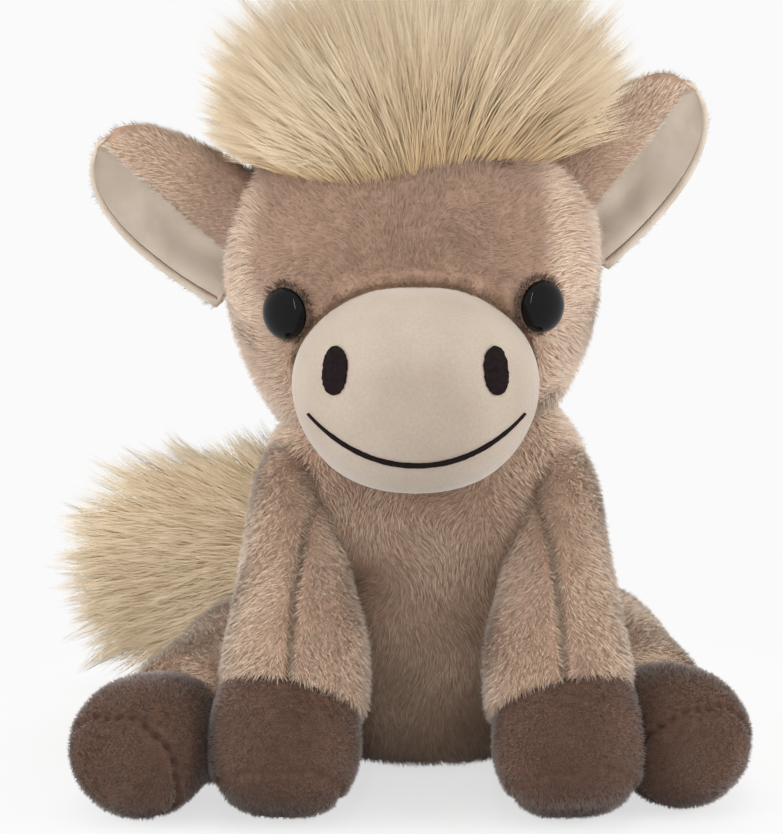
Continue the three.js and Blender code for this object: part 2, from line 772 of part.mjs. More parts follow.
function makeMane(group) {
  const ears = Object.values(earJoints).map(earRoom);
  const tuft = cut(maneSolid(0), headSolid(seamGap, headForm), ...ears);
  addPiece(group, "mane_tuft", blondPile, mainBody(tuft));

  const strip = {
    halfWidth: crestHalfWidth,
    halfDepth: crestHalfDepth,
    halfHeight: crestHalfHeight,
    fullnessShare: crestFullnessShare,
    lean: crestHalfHeight * crestTopShare,
    around: 12,
    along: 8,
  };
  const crest = solidOf(swollen(strip, 0), headFrameAt(0, headHalfDepth, crestRise));
  const clear = cut(crest, headSolid(seamGap, headForm), maneSolid(seamGap));
  addPiece(group, "mane_crest", blondPile, mainBody(clear));
}

// Tail: one tuft of long pile, sewn in at the rump

function makeTail() {
  const round = tailRootDeg * degree;
  const heightShare = (tailRootHeight - bodyCentre.z) / bodyForm.halfHeight;
  const pivot = onForm(bodyForm, heightShare, -Math.sin(round), Math.cos(round), 0).add(bodyCentre);
  const joint = { pivot, axis: Z, range: [-tailSwayDeg, tailSwayDeg] };
  const direction = new THREE.Vector3(
    -Math.sin(tailTurnDeg * degree),
    Math.cos(tailTurnDeg * degree),
    -Math.tan(tailDropDeg * degree),
  ).normalize();
  const across = new THREE.Vector3().crossVectors(Z, direction).normalize();
  const up = new THREE.Vector3().crossVectors(direction, across);
  const frame = new THREE.Matrix4().makeBasis(across, up, direction).setPosition(pivot);
  frame.multiply(shifted(0, 0, tailHalfLength - tailTurnIn));
  const form = {
    halfWidth: tailHalfThickness,
    halfDepth: tailHalfWidth,
    halfHeight: tailHalfLength,
    fullnessShare: tailFullnessShare,
    taperShare: tailTaperShare,
    around: 14,
    along: 10,
  };
  const body = solidOf(swollen(bodyForm, seamGap), bodyFrame);
  const taken = swept(body, joint, -tailSwayDeg, tailSwayDeg);
  const group = jointGroup(toy, "tail_sway", joint);
  const tuft = cut(solidOf(swollen(form, 0), frame), taken).intersect(above(seamGap));
  addPiece(group, "tail_tuft", blondPile, mainBody(tuft));
}

makeBody();
for (const name of Object.keys(sides)) {
  makeLeg("front_leg_" + name, "shoulder_" + name, frontLegs[name], []);
  makeLeg("hind_leg_" + name, "hip_" + name, hindLegs[name], [frontLegs[name]]);
}
const headGroup = jointGroup(toy, "neck_nod", neck);
makeHead(headGroup);
makeSmile(headGroup);
makeMane(headGroup);
for (const name of Object.keys(sides)) {
  makeNostril(headGroup, name);
  makeEar(headGroup, name);
}
makeTail();

export default toy;
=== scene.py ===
# %% [markdown]
# # A sitting plush pony
# We dress the pony's plain solids in stuffed skins and then in fur. Every skin is lofted from
# rings, rounded, and seated a little inside its solid, so that the pile ends where the solid does.
# Cloth simulation could stuff the skins too, but these are small, round and tight, and a loft gives
# the same shape at once.

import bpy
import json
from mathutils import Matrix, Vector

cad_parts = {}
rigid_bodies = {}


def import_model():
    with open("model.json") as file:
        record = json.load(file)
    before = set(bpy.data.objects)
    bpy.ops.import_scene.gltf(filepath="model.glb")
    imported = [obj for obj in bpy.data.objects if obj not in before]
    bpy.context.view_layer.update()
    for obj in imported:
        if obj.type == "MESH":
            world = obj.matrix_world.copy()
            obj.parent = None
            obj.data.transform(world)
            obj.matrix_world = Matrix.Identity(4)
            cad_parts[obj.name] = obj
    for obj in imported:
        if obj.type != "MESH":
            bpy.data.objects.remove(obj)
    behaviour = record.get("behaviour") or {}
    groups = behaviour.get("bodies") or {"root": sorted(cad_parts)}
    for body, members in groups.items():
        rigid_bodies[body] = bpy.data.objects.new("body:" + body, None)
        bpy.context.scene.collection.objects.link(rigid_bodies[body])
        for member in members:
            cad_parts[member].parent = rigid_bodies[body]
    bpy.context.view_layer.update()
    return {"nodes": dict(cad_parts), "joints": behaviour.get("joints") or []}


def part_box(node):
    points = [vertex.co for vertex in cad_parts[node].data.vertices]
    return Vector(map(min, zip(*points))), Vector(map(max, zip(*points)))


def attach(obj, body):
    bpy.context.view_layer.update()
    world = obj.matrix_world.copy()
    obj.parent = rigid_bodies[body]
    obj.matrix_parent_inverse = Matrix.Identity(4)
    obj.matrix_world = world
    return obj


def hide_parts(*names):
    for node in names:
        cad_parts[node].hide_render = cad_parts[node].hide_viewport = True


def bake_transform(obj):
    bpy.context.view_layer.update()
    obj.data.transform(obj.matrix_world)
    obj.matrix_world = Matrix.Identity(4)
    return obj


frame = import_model()

import json
import math

import bpy
import numpy as np
from mathutils import Matrix, Vector
from mathutils.bvhtree import BVHTree

print("CAD nodes:", len(frame["nodes"]))

# %% [markdown]
# ## Sizes
# Everything is in metres. The pile has a length and a lean, and together they say how far the
# skin lies under the fur's surface. Skins and hair stay a hair's width over the floor.

# %% Pile lengths
MM = 0.001
PILE = 3.0 * MM
PILE_LEAN = math.radians(52)
PILE_RISE = 1.8 * MM
HOOF_PILE = 1.2 * MM
HOOF_RISE = 0.8 * MM
SKIN_GAP = 0.4 * MM
HAIR_GAP = 0.2 * MM
FALL = Vector((0, 0, -1))
SIDES = (("right", -1), ("left", 1))
joints = {joint["name"]: Vector(joint["pos_m"]) for joint in frame["joints"]}
print("pile rises", round(PILE_RISE / MM, 1), "mm over its skin")

# %% [markdown]
# ## Colours
# A colour is written as it is seen, from 0 to 255, and turned into the light that it stands for.
# Each fur has three: its own, its shade at the roots, and its tips.


# %% Colours
def seen(red, green, blue):
    """The linear colour of one that is seen."""
    shares = [value / 255 for value in (red, green, blue)]
    light = [s / 12.92 if s <= 0.04045 else ((s + 0.055) / 1.055) ** 2.4 for s in shares]
    return (*light, 1)


def grey(level):
    """A plain grey to multiply other colours by, or to mix by."""
    return (level, level, level, 1)


TAN = seen(211, 185, 161)
TAN_SHADE = seen(144, 113, 95)
TAN_TIP = seen(222, 200, 178)
# The cloth under the tan pile is painted darker, as the shade that lies between the hairs.
SHADED_TAN_CLOTH = seen(176, 147, 126)
BROWN = seen(99, 75, 62)
BROWN_SHADE = seen(74, 53, 44)
BROWN_TIP = seen(152, 127, 111)
CREAM = seen(188, 173, 157)
CREAM_SHADE = seen(176, 160, 144)
BLOND = seen(212, 187, 151)
BLOND_SHADE = seen(186, 156, 117)
BLOND_TIP = seen(232, 215, 188)
LINING = seen(203, 190, 175)
LINING_SHADE = seen(180, 164, 147)
THREAD = seen(36, 25, 25)
THREAD_SHADE = seen(20, 15, 17)
print("tan is", [round(value, 2) for value in TAN[:3]], "as light")

# %% [markdown]
# ## Materials
# Each material is a small node tree. Nodes could be added by hand in the shader editor, one by one.
# We write a helper that adds a node and fills in its sockets, and then the trees are short.


# %% Node helpers
def node(tree, kind, inputs=None, **settings):
    """A new node with its settings, and with its inputs set or linked."""
    made = tree.nodes.new(kind)
    for name, value in settings.items():
        setattr(made, name, value)
    for name, value in (inputs or {}).items():
        if isinstance(value, bpy.types.NodeSocket):
            tree.links.new(value, made.inputs[name])
        else:
            made.inputs[name].default_value = value
    return made


def new_material(name, roughness, **sockets):
    """A material with a Principled shader, its tree, and that shader."""
    material = bpy.data.materials.new(name)
    material.use_nodes = True
    tree = material.node_tree
    shader = tree.nodes["Principled BSDF"]
    shader.inputs["Roughness"].default_value = roughness
    for socket, value in sockets.items():
        shader.inputs[socket.replace("_", " ")].default_value = value
    return material, tree, shader


def noise(tree, scale, detail=2.0, distortion=0.0):
    """Noise on the piece's own coordinates. Scale is in patches per metre."""
    place = node(tree, "ShaderNodeTexCoord").outputs["Object"]
    inputs = {"Vector": place, "Scale": scale, "Detail": detail, "Distortion": distortion}
    return node(tree, "ShaderNodeTexNoise", inputs).outputs["Fac"]


def ramp(tree, factor, *stops):
    """A colour ramp through (place, colour) stops."""
    made = node(tree, "ShaderNodeValToRGB", {"Fac": factor})
    elements = made.color_ramp.elements
    while len(elements) < len(stops):
        elements.new(0.5)
    for element, (place, colour) in zip(elements, stops):
        element.position = place
        element.color = colour
    return made.outputs["Color"]


def mixed(tree, factor, first, second, blend_type="MIX"):
    """Two colours mixed by a factor."""
    made = node(tree, "ShaderNodeMix", data_type="RGBA", blend_type=blend_type)
    for socket, value in ((made.inputs[0], factor), (made.inputs[6], first), (made.inputs[7], second)):
        if isinstance(value, bpy.types.NodeSocket):
            tree.links.new(value, socket)
        else:
            socket.default_value = value
    return made.outputs[2]


def attribute(tree, name):
    """A value that the mesh carries."""
    return node(tree, "ShaderNodeAttribute", attribute_name=name).outputs["Fac"]


def bump(tree, shader, height, distance, strength=1.0):
    """Relief on a shader."""
    inputs = {"Height": height, "Distance": distance, "Strength": strength}
    tree.links.new(node(tree, "ShaderNodeBump", inputs).outputs["Normal"], shader.inputs["Normal"])


print("node helpers ready")

# %% [markdown]
# Fur has darker roots and paler tips, and every hair differs a little. Its mesh carries three
# values: `along` from root to tip, `shade` for each hair, and `patch` for the tufts and for painted
# light and shade. Noise on coordinates would cut across the hairs, so the values belong to the
# hairs themselves.


# %% Fur and the skin below it
def fur_material(name, base, shade, tip, sheen=0.3, spread=0.2):
    """Hair that pales from its root, in patches. Spread is how much one hair differs from others."""
    sockets = {"Sheen_Weight": sheen, "Sheen_Roughness": 0.5, "Specular_IOR_Level": 0.25}
    material, tree, shader = new_material(name, 0.75, **sockets)
    length = ramp(tree, attribute(tree, "along"), (0.0, shade), (0.4, base), (1.0, tip))
    patches = ramp(tree, attribute(tree, "patch"), (0.05, grey(0)), (0.95, grey(1)))
    # The darker end of the patches: random mottle, and painted shade where a coat paints it.
    mottle_and_painted_shade = mixed(tree, 0.8, length, shade)
    coat = mixed(tree, patches, mottle_and_painted_shade, length)
    hair = ramp(tree, attribute(tree, "shade"), (0.0, grey(1 - spread)), (1.0, grey(1 + 0.6 * spread)))
    tree.links.new(mixed(tree, 1.0, coat, hair, "MULTIPLY"), shader.inputs["Base Color"])
    return material


def skin_material(name, base, shade, scale, relief):
    """The cloth that the pile grows from, mottled like the pile."""
    material, tree, shader = new_material(name, 0.95, Specular_IOR_Level=0.2)
    mottle = noise(tree, scale, 5.0)
    tree.links.new(ramp(tree, mottle, (0.1, shade), (0.75, base)), shader.inputs["Base Color"])
    bump(tree, shader, noise(tree, scale * 3, 4.0), relief)
    return material


tan_fur = fur_material("tan fur", TAN, TAN_SHADE, TAN_TIP, spread=0.3)
# Painted shade: the tan skin is darker than the pile, where it shows between the hairs.
tan_skin = skin_material("tan skin", SHADED_TAN_CLOTH, TAN_SHADE, 260, 0.6 * MM)
brown_fur = fur_material("brown plush", BROWN, BROWN_SHADE, BROWN_TIP, 0.4)
brown_skin = skin_material("brown skin", BROWN, BROWN_SHADE, 700, 0.3 * MM)
blond_fur = fur_material("blond pile", BLOND, BLOND_SHADE, BLOND_TIP, 0.3, 0.06)
blond_skin = skin_material("blond skin", BLOND, BLOND_SHADE, 260, 0.6 * MM)
print("fur materials:", [m.name for m in (tan_fur, brown_fur, blond_fur)])

# %% [markdown]
# The muzzle is velour with a nap too short for hairs of its own, so its nap is fine noise, and a
# sheen on the shader gives it its pale edge. Its lower part is painted a little darker, as painted
# shade where it faces ahead, away from the light above.
# The ears have a smooth lining, the face is stitched with matt thread, and only the eyes shine.

# %% Smooth cloths, thread and plastic
# Painted shade on the muzzle's lower part: where it fades out, where it is full, and how dark it is.
PAINTED_SHADE_ENDS_AT = 120 * MM
PAINTED_SHADE_FULL_BELOW = 103 * MM
PAINTED_SHADE_LEVEL = 0.88
EYE_BLACK = seen(9, 9, 11)
WASHER_WHITE = seen(222, 222, 222)


def velour():
    """The cream muzzle cloth: a fine nap, a few broad painted shadows, and painted shade below."""
    material, tree, shader = new_material("cream velour", 0.85, Sheen_Weight=0.4, Sheen_Roughness=0.4)
    broad = noise(tree, 45, 2.0)
    fine = noise(tree, 1400, 3.0)
    colour = ramp(tree, broad, (0.3, CREAM_SHADE), (0.6, CREAM))
    # Painted shade: the muzzle's lower part, which faces ahead and away from the light above, is darkened.
    height = node(tree, "ShaderNodeSeparateXYZ", {0: node(tree, "ShaderNodeTexCoord").outputs["Object"]})
    between = {"Value": height.outputs["Z"], "From Min": PAINTED_SHADE_FULL_BELOW, "From Max": PAINTED_SHADE_ENDS_AT}
    rising = node(tree, "ShaderNodeMapRange", between, interpolation_type="SMOOTHSTEP").outputs[0]
    painted_low_shade = ramp(tree, rising, (0.0, grey(PAINTED_SHADE_LEVEL)), (1.0, grey(1)))
    colour = mixed(tree, 1.0, colour, painted_low_shade, "MULTIPLY")
    speck = ramp(tree, fine, (0.3, grey(0.9)), (0.7, grey(1)))
    tree.links.new(mixed(tree, 1.0, colour, speck, "MULTIPLY"), shader.inputs["Base Color"])
    bump(tree, shader, fine, 0.12 * MM)
    return material


def satin():
    """The smooth lining of the ears, with painted shade in the valleys of its folds."""
    material, tree, shader = new_material("ear lining", 0.6, Sheen_Weight=0.3)
    folds = noise(tree, 60, 3.0, 0.5)
    # The same noise darkens the folds' valleys: painted shade.
    tree.links.new(ramp(tree, folds, (0.3, LINING_SHADE), (0.7, LINING)), shader.inputs["Base Color"])
    bump(tree, shader, folds, 0.8 * MM, 0.6)
    return material


def thread():
    """Filled stitches, dark and matt."""
    material, tree, shader = new_material("dark thread", 0.9, Specular_IOR_Level=0.1)
    fuzz = noise(tree, 900, 3.0)
    tree.links.new(ramp(tree, fuzz, (0.3, THREAD_SHADE), (0.8, THREAD)), shader.inputs["Base Color"])
    bump(tree, shader, fuzz, 0.1 * MM)
    return material


def plastic(name, colour, roughness, gloss=0.3):
    """Moulded plastic, with the faint unevenness of a tumbled piece."""
    material, tree, shader = new_material(name, roughness, Specular_IOR_Level=gloss)
    lighter = (*(1.15 * c for c in colour[:3]), 1)
    tree.links.new(ramp(tree, noise(tree, 300), (0.3, colour), (0.9, lighter)), shader.inputs["Base Color"])
    return material


cream_velour = velour()
ear_satin = satin()
dark_thread = thread()
eye_black = plastic("eye black", EYE_BLACK, 0.04, 0.17)
washer_white = plastic("washer white", WASHER_WHITE, 0.5)
print("smooth materials:", [m.name for m in (cream_velour, ear_satin, dark_thread, eye_black)])

# %% [markdown]
# ## Stuffed skins
# A stuffed skin is a closed bag with soft ends. A sphere could be pulled into that shape point by
# point, but rings are easier to read and to change. We start with a small circle, extrude it ring
# after ring, resize each ring, and round the result. Ring widths are shares of the largest, and the
# finished loft is fitted to its real size.


# %% Lofting helpers
def rounded(piece, levels):
    """Subdivides a piece and keeps the result."""
    modifier = piece.modifiers.new("round", "SUBSURF")
    modifier.levels = modifier.render_levels = levels
    bpy.context.view_layer.objects.active = piece
    bpy.ops.object.modifier_apply(modifier=modifier.name)


def points_of(piece):
    """A piece's points as an array."""
    points = np.empty(len(piece.data.vertices) * 3)
    piece.data.vertices.foreach_get("co", points)
    return points.reshape(-1, 3)


def normals_of(piece):
    """The normals at a piece's points, as an array."""
    normals = np.empty(len(piece.data.vertices) * 3)
    piece.data.vertices.foreach_get("normal", normals)
    return normals.reshape(-1, 3)


def set_points(piece, points):
    """Puts an array's points back in a piece."""
    piece.data.vertices.foreach_set("co", points.ravel())
    piece.data.update()


def lofted(name, low, high, rings, sides=16, levels=2):
    """A closed round shape that fills a box from low to high.

    A ring is its height share, from 0 to 1, its width and depth shares, and, where it slides, how
    far forward it lies, as a share of the depth.
    """
    bpy.ops.object.select_all(action="DESELECT")
    bpy.ops.mesh.primitive_circle_add(vertices=sides, radius=1, fill_type="NGON")
    piece = bpy.context.object
    piece.name = name
    bpy.ops.object.mode_set(mode="EDIT")
    bpy.ops.mesh.select_all(action="SELECT")
    last_height, last_wide, last_deep, last_ahead = 0, 1, 1, 0
    for i, (height, wide, deep, *slide) in enumerate(rings):
        ahead = slide[0] if slide else 0
        step = (0, last_ahead - ahead, height - last_height)
        if i:
            bpy.ops.mesh.extrude_region_move(TRANSFORM_OT_translate={"value": step})
        else:
            bpy.ops.transform.translate(value=step)
        stretch = (wide / last_wide, deep / last_deep, 1)
        bpy.ops.transform.resize(value=stretch, center_override=(0, -ahead, height))
        last_height, last_wide, last_deep, last_ahead = height, wide, deep, ahead
    bpy.ops.mesh.select_all(action="SELECT")
    bpy.ops.mesh.normals_make_consistent(inside=False)
    bpy.ops.object.mode_set(mode="OBJECT")
    rounded(piece, levels)
    bpy.ops.object.shade_smooth()
    points = points_of(piece)
    share = (points - points.min(0)) / (points.max(0) - points.min(0))
    set_points(piece, np.array(low) + share * (np.array(high) - np.array(low)))
    return piece


def placed(piece, matrix):
    """Moves a piece's mesh by a matrix and leaves the object at the origin."""
    piece.data.transform(matrix)
    piece.data.update()
    return piece


def dressed(piece, material):
    """Gives a piece its only material."""
    piece.data.materials.clear()
    piece.data.materials.append(material)
    return piece


def on_body(piece, body, replaces=(), bend=None):
    """Attaches a piece to its body.

    With a bend, it is attached to no body: its placing is only baked into its mesh.
    """
    if bend:
        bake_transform(piece)
    else:
        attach(piece, body)
    if replaces:
        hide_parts(*replaces)
    return piece


def shrunk_box(nodes, inset):
    """The box round some CAD nodes, drawn in on every side."""
    boxes = [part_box(name) for name in nodes]
    low = Vector([min(box[0][i] for box in boxes) + inset for i in range(3)])
    high = Vector([max(box[1][i] for box in boxes) - inset for i in range(3)])
    return low, high


print("lofting helpers ready")

# %% [markdown]
# The body is one pear of tan plush. It leans forward, so its rings slide ahead as they rise. Its
# seat is flat, because the pellets in it let it settle. The rings near the top are wide, where the
# front legs are sewn on and stretch the cloth.

# %% Body skin
BODY_RINGS = [
    (0.00, 0.50, 0.50, 0.00),
    (0.02, 0.78, 0.76, 0.01),
    (0.10, 0.94, 0.93, 0.04),
    (0.25, 1.00, 1.00, 0.12),
    (0.42, 0.98, 0.97, 0.22),
    (0.58, 0.90, 0.88, 0.32),
    (0.72, 0.84, 0.77, 0.40),
    (0.84, 0.77, 0.68, 0.46),
    (0.95, 0.66, 0.60, 0.48),
    (1.00, 0.54, 0.50, 0.48),
]
low, high = shrunk_box(["body_cover"], PILE_RISE)
low.z = SKIN_GAP
body_skin = dressed(lofted("body_skin", low, high, BODY_RINGS, levels=3), tan_skin)
on_body(body_skin, "torso", ["body_cover", "body_filling", "seat_pellet_bag"])
print("body skin:", len(body_skin.data.polygons), "faces")

# %% [markdown]
# ## Head
# The real head is sewn from side panels and a gusset over the brow, and the filling rounds them into
# one ball. It is widest at the eyes, with a broad brow and narrow cheeks.

# %% Head skin
HEAD_RINGS = [
    (0.00, 0.40, 0.40, 0.00),
    (0.03, 0.58, 0.58, 0.00),
    (0.10, 0.72, 0.74, 0.01),
    (0.24, 0.86, 0.89, 0.02),
    (0.42, 0.97, 0.98, 0.02),
    (0.58, 1.00, 1.00, 0.02),
    (0.74, 0.98, 0.97, 0.01),
    (0.88, 0.90, 0.88, 0.00),
    (0.97, 0.72, 0.70, -0.02),
    (1.00, 0.50, 0.46, -0.02),
]
head_low, head_high = shrunk_box(["head_cover"], PILE_RISE)
head_low.z = min(head_low.z, joints["neck_nod"].z)
head_skin = dressed(lofted("head_skin", head_low, head_high, HEAD_RINGS, sides=20), tan_skin)
head_middle = (head_low + head_high) / 2
print("head middle:", [round(v / MM) for v in head_middle])

# %% [markdown]
# The eyes look ahead and a little outward. Their places come from the washers that hold them behind
# the cloth, and the head's slight roll lifts one a little over the other.

# %% Eye places
HEAD_ROLL = math.radians(1.6)
EYE_TURN = math.radians(38)
EYE_RADIUS = 6 * MM
EYE_BULGE = 3.3 * MM
RIM_OVER_WASHER = 3.1 * MM
EYE_SEAT = 0.7 * MM
eyes = {}
for side, sign in SIDES:
    washer_low, washer_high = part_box("eye_washer_" + side)
    look = Vector((sign * math.sin(EYE_TURN), -math.cos(EYE_TURN), math.sin(EYE_TURN) * sign * HEAD_ROLL))
    rim = (washer_low + washer_high) / 2 + look * RIM_OVER_WASHER
    eyes[side] = {"look": look.normalized(), "rim": rim}
print("eye rims at", [tuple(round(v / MM, 1) for v in eye["rim"]) for eye in eyes.values()])

# %% [markdown]
# The eye's shank holds the cloth round it, so we press or raise the skin until it passes just
# behind the eye's rim. Sculpting by hand would do the same, but a ray tells exactly how far.


# %% Dimples in the head
def tree_of(piece):
    """A search tree of a piece's faces."""
    mesh = piece.data
    points = [vertex.co.copy() for vertex in mesh.vertices]
    return BVHTree.FromPolygons(points, [tuple(face.vertices) for face in mesh.polygons])


def dimpled(piece, centre, direction, depth, reach):
    """Presses a soft dimple into a piece, or raises one where the depth is below zero."""
    points = points_of(piece)
    away = np.linalg.norm(points - np.array(centre), axis=1)
    press = depth * np.exp(-((away / reach) ** 4))
    set_points(piece, points + np.outer(press, np.array(direction)))


for side, eye in eyes.items():
    start = eye["rim"] + eye["look"] * 20 * MM
    hit = tree_of(head_skin).ray_cast(start, -eye["look"])[0]
    over = (hit - eye["rim"]).dot(eye["look"])
    dimpled(head_skin, hit, -eye["look"], over + EYE_SEAT, 10 * MM)
    print(side, "eye: the skin was", round(over / MM, 2), "mm over the rim")
on_body(head_skin, "head", ["head_cover", "head_filling"])

# %% [markdown]
# ## Muzzle
# The muzzle is an egg of cream velour, sewn into the face. It is lofted upright, like the head, and
# its back half lies in the head, so that its seam follows where the two meet.

# %% Muzzle skin
MUZZLE_RINGS = [
    (0.00, 0.30, 0.34, 0.00),
    (0.05, 0.56, 0.60, 0.00),
    (0.16, 0.78, 0.82, 0.01),
    (0.34, 0.95, 0.96, 0.01),
    (0.52, 1.00, 1.00, 0.00),
    (0.70, 0.93, 0.95, -0.01),
    (0.86, 0.72, 0.79, -0.02),
    (0.96, 0.45, 0.54, -0.03),
    (1.00, 0.23, 0.30, -0.03),
]
muzzle_low, muzzle_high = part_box("muzzle_cover")
MUZZLE_BACK = 34 * MM
muzzle_high.y = muzzle_low.y + 2 * MUZZLE_BACK
muzzle_skin = lofted("muzzle_skin", muzzle_low, muzzle_high, MUZZLE_RINGS, sides=20, levels=3)
dressed(muzzle_skin, cream_velour)
muzzle_middle = (muzzle_low + muzzle_high) / 2
on_body(muzzle_skin, "head", ["muzzle_cover"])
print("muzzle tip at", round(muzzle_low.y / MM, 1))

# %% [markdown]
# ## Eyes
# Each eye is a polished dome on a thin shank, about 12 mm across. We cut a sphere a little behind
# its middle, flatten it, and turn it from looking up to looking ahead.


# %% Eye pieces
EYE_CUT = -0.15 * EYE_RADIUS


def looking(place, direction):
    """The matrix that turns +Z to a direction, at a place."""
    return Matrix.Translation(place) @ direction.to_track_quat("Z", "Y").to_matrix().to_4x4()


def make_eye(side, eye):
    """A glossy dome, flat behind, with its rim turned in."""
    bpy.ops.object.select_all(action="DESELECT")
    bpy.ops.mesh.primitive_uv_sphere_add(segments=48, ring_count=32, radius=EYE_RADIUS)
    dome = bpy.context.object
    dome.name = "eye_dome_" + side
    bpy.ops.object.mode_set(mode="EDIT")
    bpy.ops.mesh.select_all(action="SELECT")
    bpy.ops.mesh.bisect(plane_co=(0, 0, EYE_CUT), plane_no=(0, 0, 1), use_fill=True, clear_inner=True)
    bpy.ops.mesh.select_all(action="SELECT")
    bpy.ops.transform.resize(value=(1, 1, EYE_BULGE / EYE_RADIUS), center_override=(0, 0, 0))
    bpy.ops.object.mode_set(mode="OBJECT")
    bpy.ops.object.shade_smooth_by_angle(angle=math.radians(40))
    placed(dome, looking(eye["rim"], eye["look"]))
    dressed(dome, eye_black)
    return on_body(dome, "head", ["eye_" + side])


for side, eye in eyes.items():
    make_eye(side, eye)
    dressed(frame["nodes"]["eye_washer_" + side], washer_white)
print("eyes:", len(eyes), "of radius", round(EYE_RADIUS / MM), "mm")

# %% [markdown]
# ## Legs
# A leg is a sleeve of tan plush from its shoulder or hip, and a hoof of brown plush that fills the
# sleeve's end. Both are lofted standing up and then turned along the line from the joint to the
# hoof, because rings round an upright axis are the easiest to write.

# %% Leg shapes
FRONT_SLEEVE = [
    (0.00, 0.60, 0.60),
    (0.01, 0.95, 0.95),
    (0.05, 1.00, 1.00),
    (0.22, 0.96, 1.00),
    (0.40, 0.87, 0.96),
    (0.58, 0.76, 0.90),
    (0.74, 0.66, 0.82),
    (0.87, 0.56, 0.70),
    (0.96, 0.40, 0.50),
    (1.00, 0.24, 0.30),
]
HIND_SLEEVE = [
    (0.00, 0.50, 0.50),
    (0.01, 0.74, 0.76),
    (0.06, 0.80, 0.82),
    (0.20, 0.82, 0.84),
    (0.40, 0.88, 0.90),
    (0.58, 0.98, 0.98),
    (0.74, 1.00, 1.00),
    (0.88, 0.84, 0.84),
    (0.97, 0.54, 0.54),
    (1.00, 0.30, 0.30),
]
HOOF = [
    (0.00, 0.36, 0.36),
    (0.03, 0.56, 0.56),
    (0.12, 0.80, 0.80),
    (0.26, 0.96, 0.96),
    (0.40, 1.00, 1.00),
    (0.56, 0.95, 0.95),
    (0.72, 0.86, 0.86),
    (0.92, 0.68, 0.68),
    (1.00, 0.42, 0.42),
]
# A sleeve's top rises over its joint, its cuff hangs below it, and wide is half its width. A hoof
# has its radius, its half length and its middle's reach from the joint. Sole and tilt place the
# seam round it, and seam is that seam's depth.
LEG_KINDS = {
    "front": {
        "joint": "shoulder", "rings": FRONT_SLEEVE,
        "top": 13 * MM, "wide": 18.2 * MM, "cuff": 50 * MM,
        "radius": 18 * MM, "reach": 55 * MM, "half": 20 * MM,
        "sole": 5.2 * MM, "tilt": 0.0, "seam": 0.7 * MM,
    },
    "hind": {
        "joint": "hip", "rings": HIND_SLEEVE,
        "top": 20.5 * MM, "wide": 20.5 * MM, "cuff": 39 * MM,
        "radius": 16.5 * MM, "reach": 53 * MM, "half": 19 * MM,
        "sole": 6.5 * MM, "tilt": -0.3, "seam": 1.6 * MM,
    },
}
legs = {
    f"{kind}_leg_{side}": {**shape, "kind": kind, "side": sign, "joint": f"{shape['joint']}_{side}"}
    for kind, shape in LEG_KINDS.items()
    for side, sign in SIDES
}
print("legs to make:", list(legs))

# %% [markdown]
# A leg's line runs from its joint to the middle of its hoof. Whatever of a leg would reach below
# the floor is pressed flat on it.


# %% Leg helpers
def unit(vectors):
    """Vectors of length one."""
    vectors = np.asarray(vectors, float)
    return vectors / np.maximum(np.linalg.norm(vectors, axis=-1, keepdims=True), 1e-12)


def smooth_step(values, low, high):
    """0 below low, 1 above high, and smooth between."""
    t = np.clip((values - low) / (high - low), 0, 1)
    return t * t * (3 - 2 * t)


def along_limb(name):
    """The matrix whose +Z runs from the end of a leg up to its joint, with the joint at the origin."""
    leg = legs[name]
    start = joints[leg["joint"]]
    boxes = [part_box(name + "_hoof"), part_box(name + "_sole")]
    middle = sum((corner for box in boxes for corner in box), Vector()) / 4
    return Matrix.Translation(start) @ (start - middle).to_track_quat("Z", "Y").to_matrix().to_4x4()


def pressed(piece):
    """Flattens on the floor what would reach below it."""
    points = points_of(piece)
    points[:, 2] = np.maximum(points[:, 2], SKIN_GAP)
    set_points(piece, points)


print("helpers for legs ready")

# %% [markdown]
# A front leg narrows to its shoulder, and a long crease runs down its front where the cloth is drawn
# tight. A sculpting brush could draw it. We press it in with a formula, so that both legs match.


# %% Shape of the front legs
CREASE_DEPTH = 2.2 * MM
CREASE_HALF = 1.2 * MM
CREASE_SWELL = 0.9 * MM
SWELL_HALF = 7 * MM
SHOULDER_TAPER = 0.22
CUFF_SLANT = 0.14
SHOULDER_OUT = 4 * MM


def sideways(matrix, sign):
    """The directions outward and ahead, as a leg's own coordinates have them."""
    turn = np.array(matrix.to_3x3())
    across, ahead = np.array([sign, 0, 0]) @ turn, np.array([0, -1, 0]) @ turn
    ahead[2] = across[2] = 0
    return unit(across), unit(ahead)


def creased(piece, matrix, sign):
    """Presses a long crease down the front of a front leg, with a soft swell on both sides of it."""
    points = points_of(piece)
    across, ahead = sideways(matrix, sign)
    up = points[:, 2]
    lateral = points @ across - (0.5 - 8.0 * smooth_step(up, -46 * MM, 6 * MM) ** 2) * MM
    facing = smooth_step(points @ ahead, 2 * MM, 9 * MM)
    window = facing * smooth_step(up, -52 * MM, -46 * MM) * (1 - smooth_step(up, 0, 9 * MM))
    dip = CREASE_DEPTH * np.exp(-((lateral / CREASE_HALF) ** 2))
    swell = CREASE_SWELL * np.exp(-((lateral / SWELL_HALF) ** 2))
    set_points(piece, points - np.outer((dip - swell) * window, ahead))


def drawn_to_shoulder(piece, matrix, sign):
    """Narrows the top of a front leg and moves it out to the shoulder, and slants its cuff."""
    points = points_of(piece)
    across, _ = sideways(matrix, sign)
    height = smooth_step(points[:, 2], -38 * MM, 8 * MM)
    lateral = points @ across
    cuff = 1 - smooth_step(points[:, 2], -50 * MM, -36 * MM)
    slant = np.outer(CUFF_SLANT * lateral * cuff, [0, 0, 1])
    outward = np.outer(height * (SHOULDER_OUT - SHOULDER_TAPER * lateral), across)
    set_points(piece, points + outward + slant)


print("the crease is", round(CREASE_DEPTH / MM, 1), "mm deep")

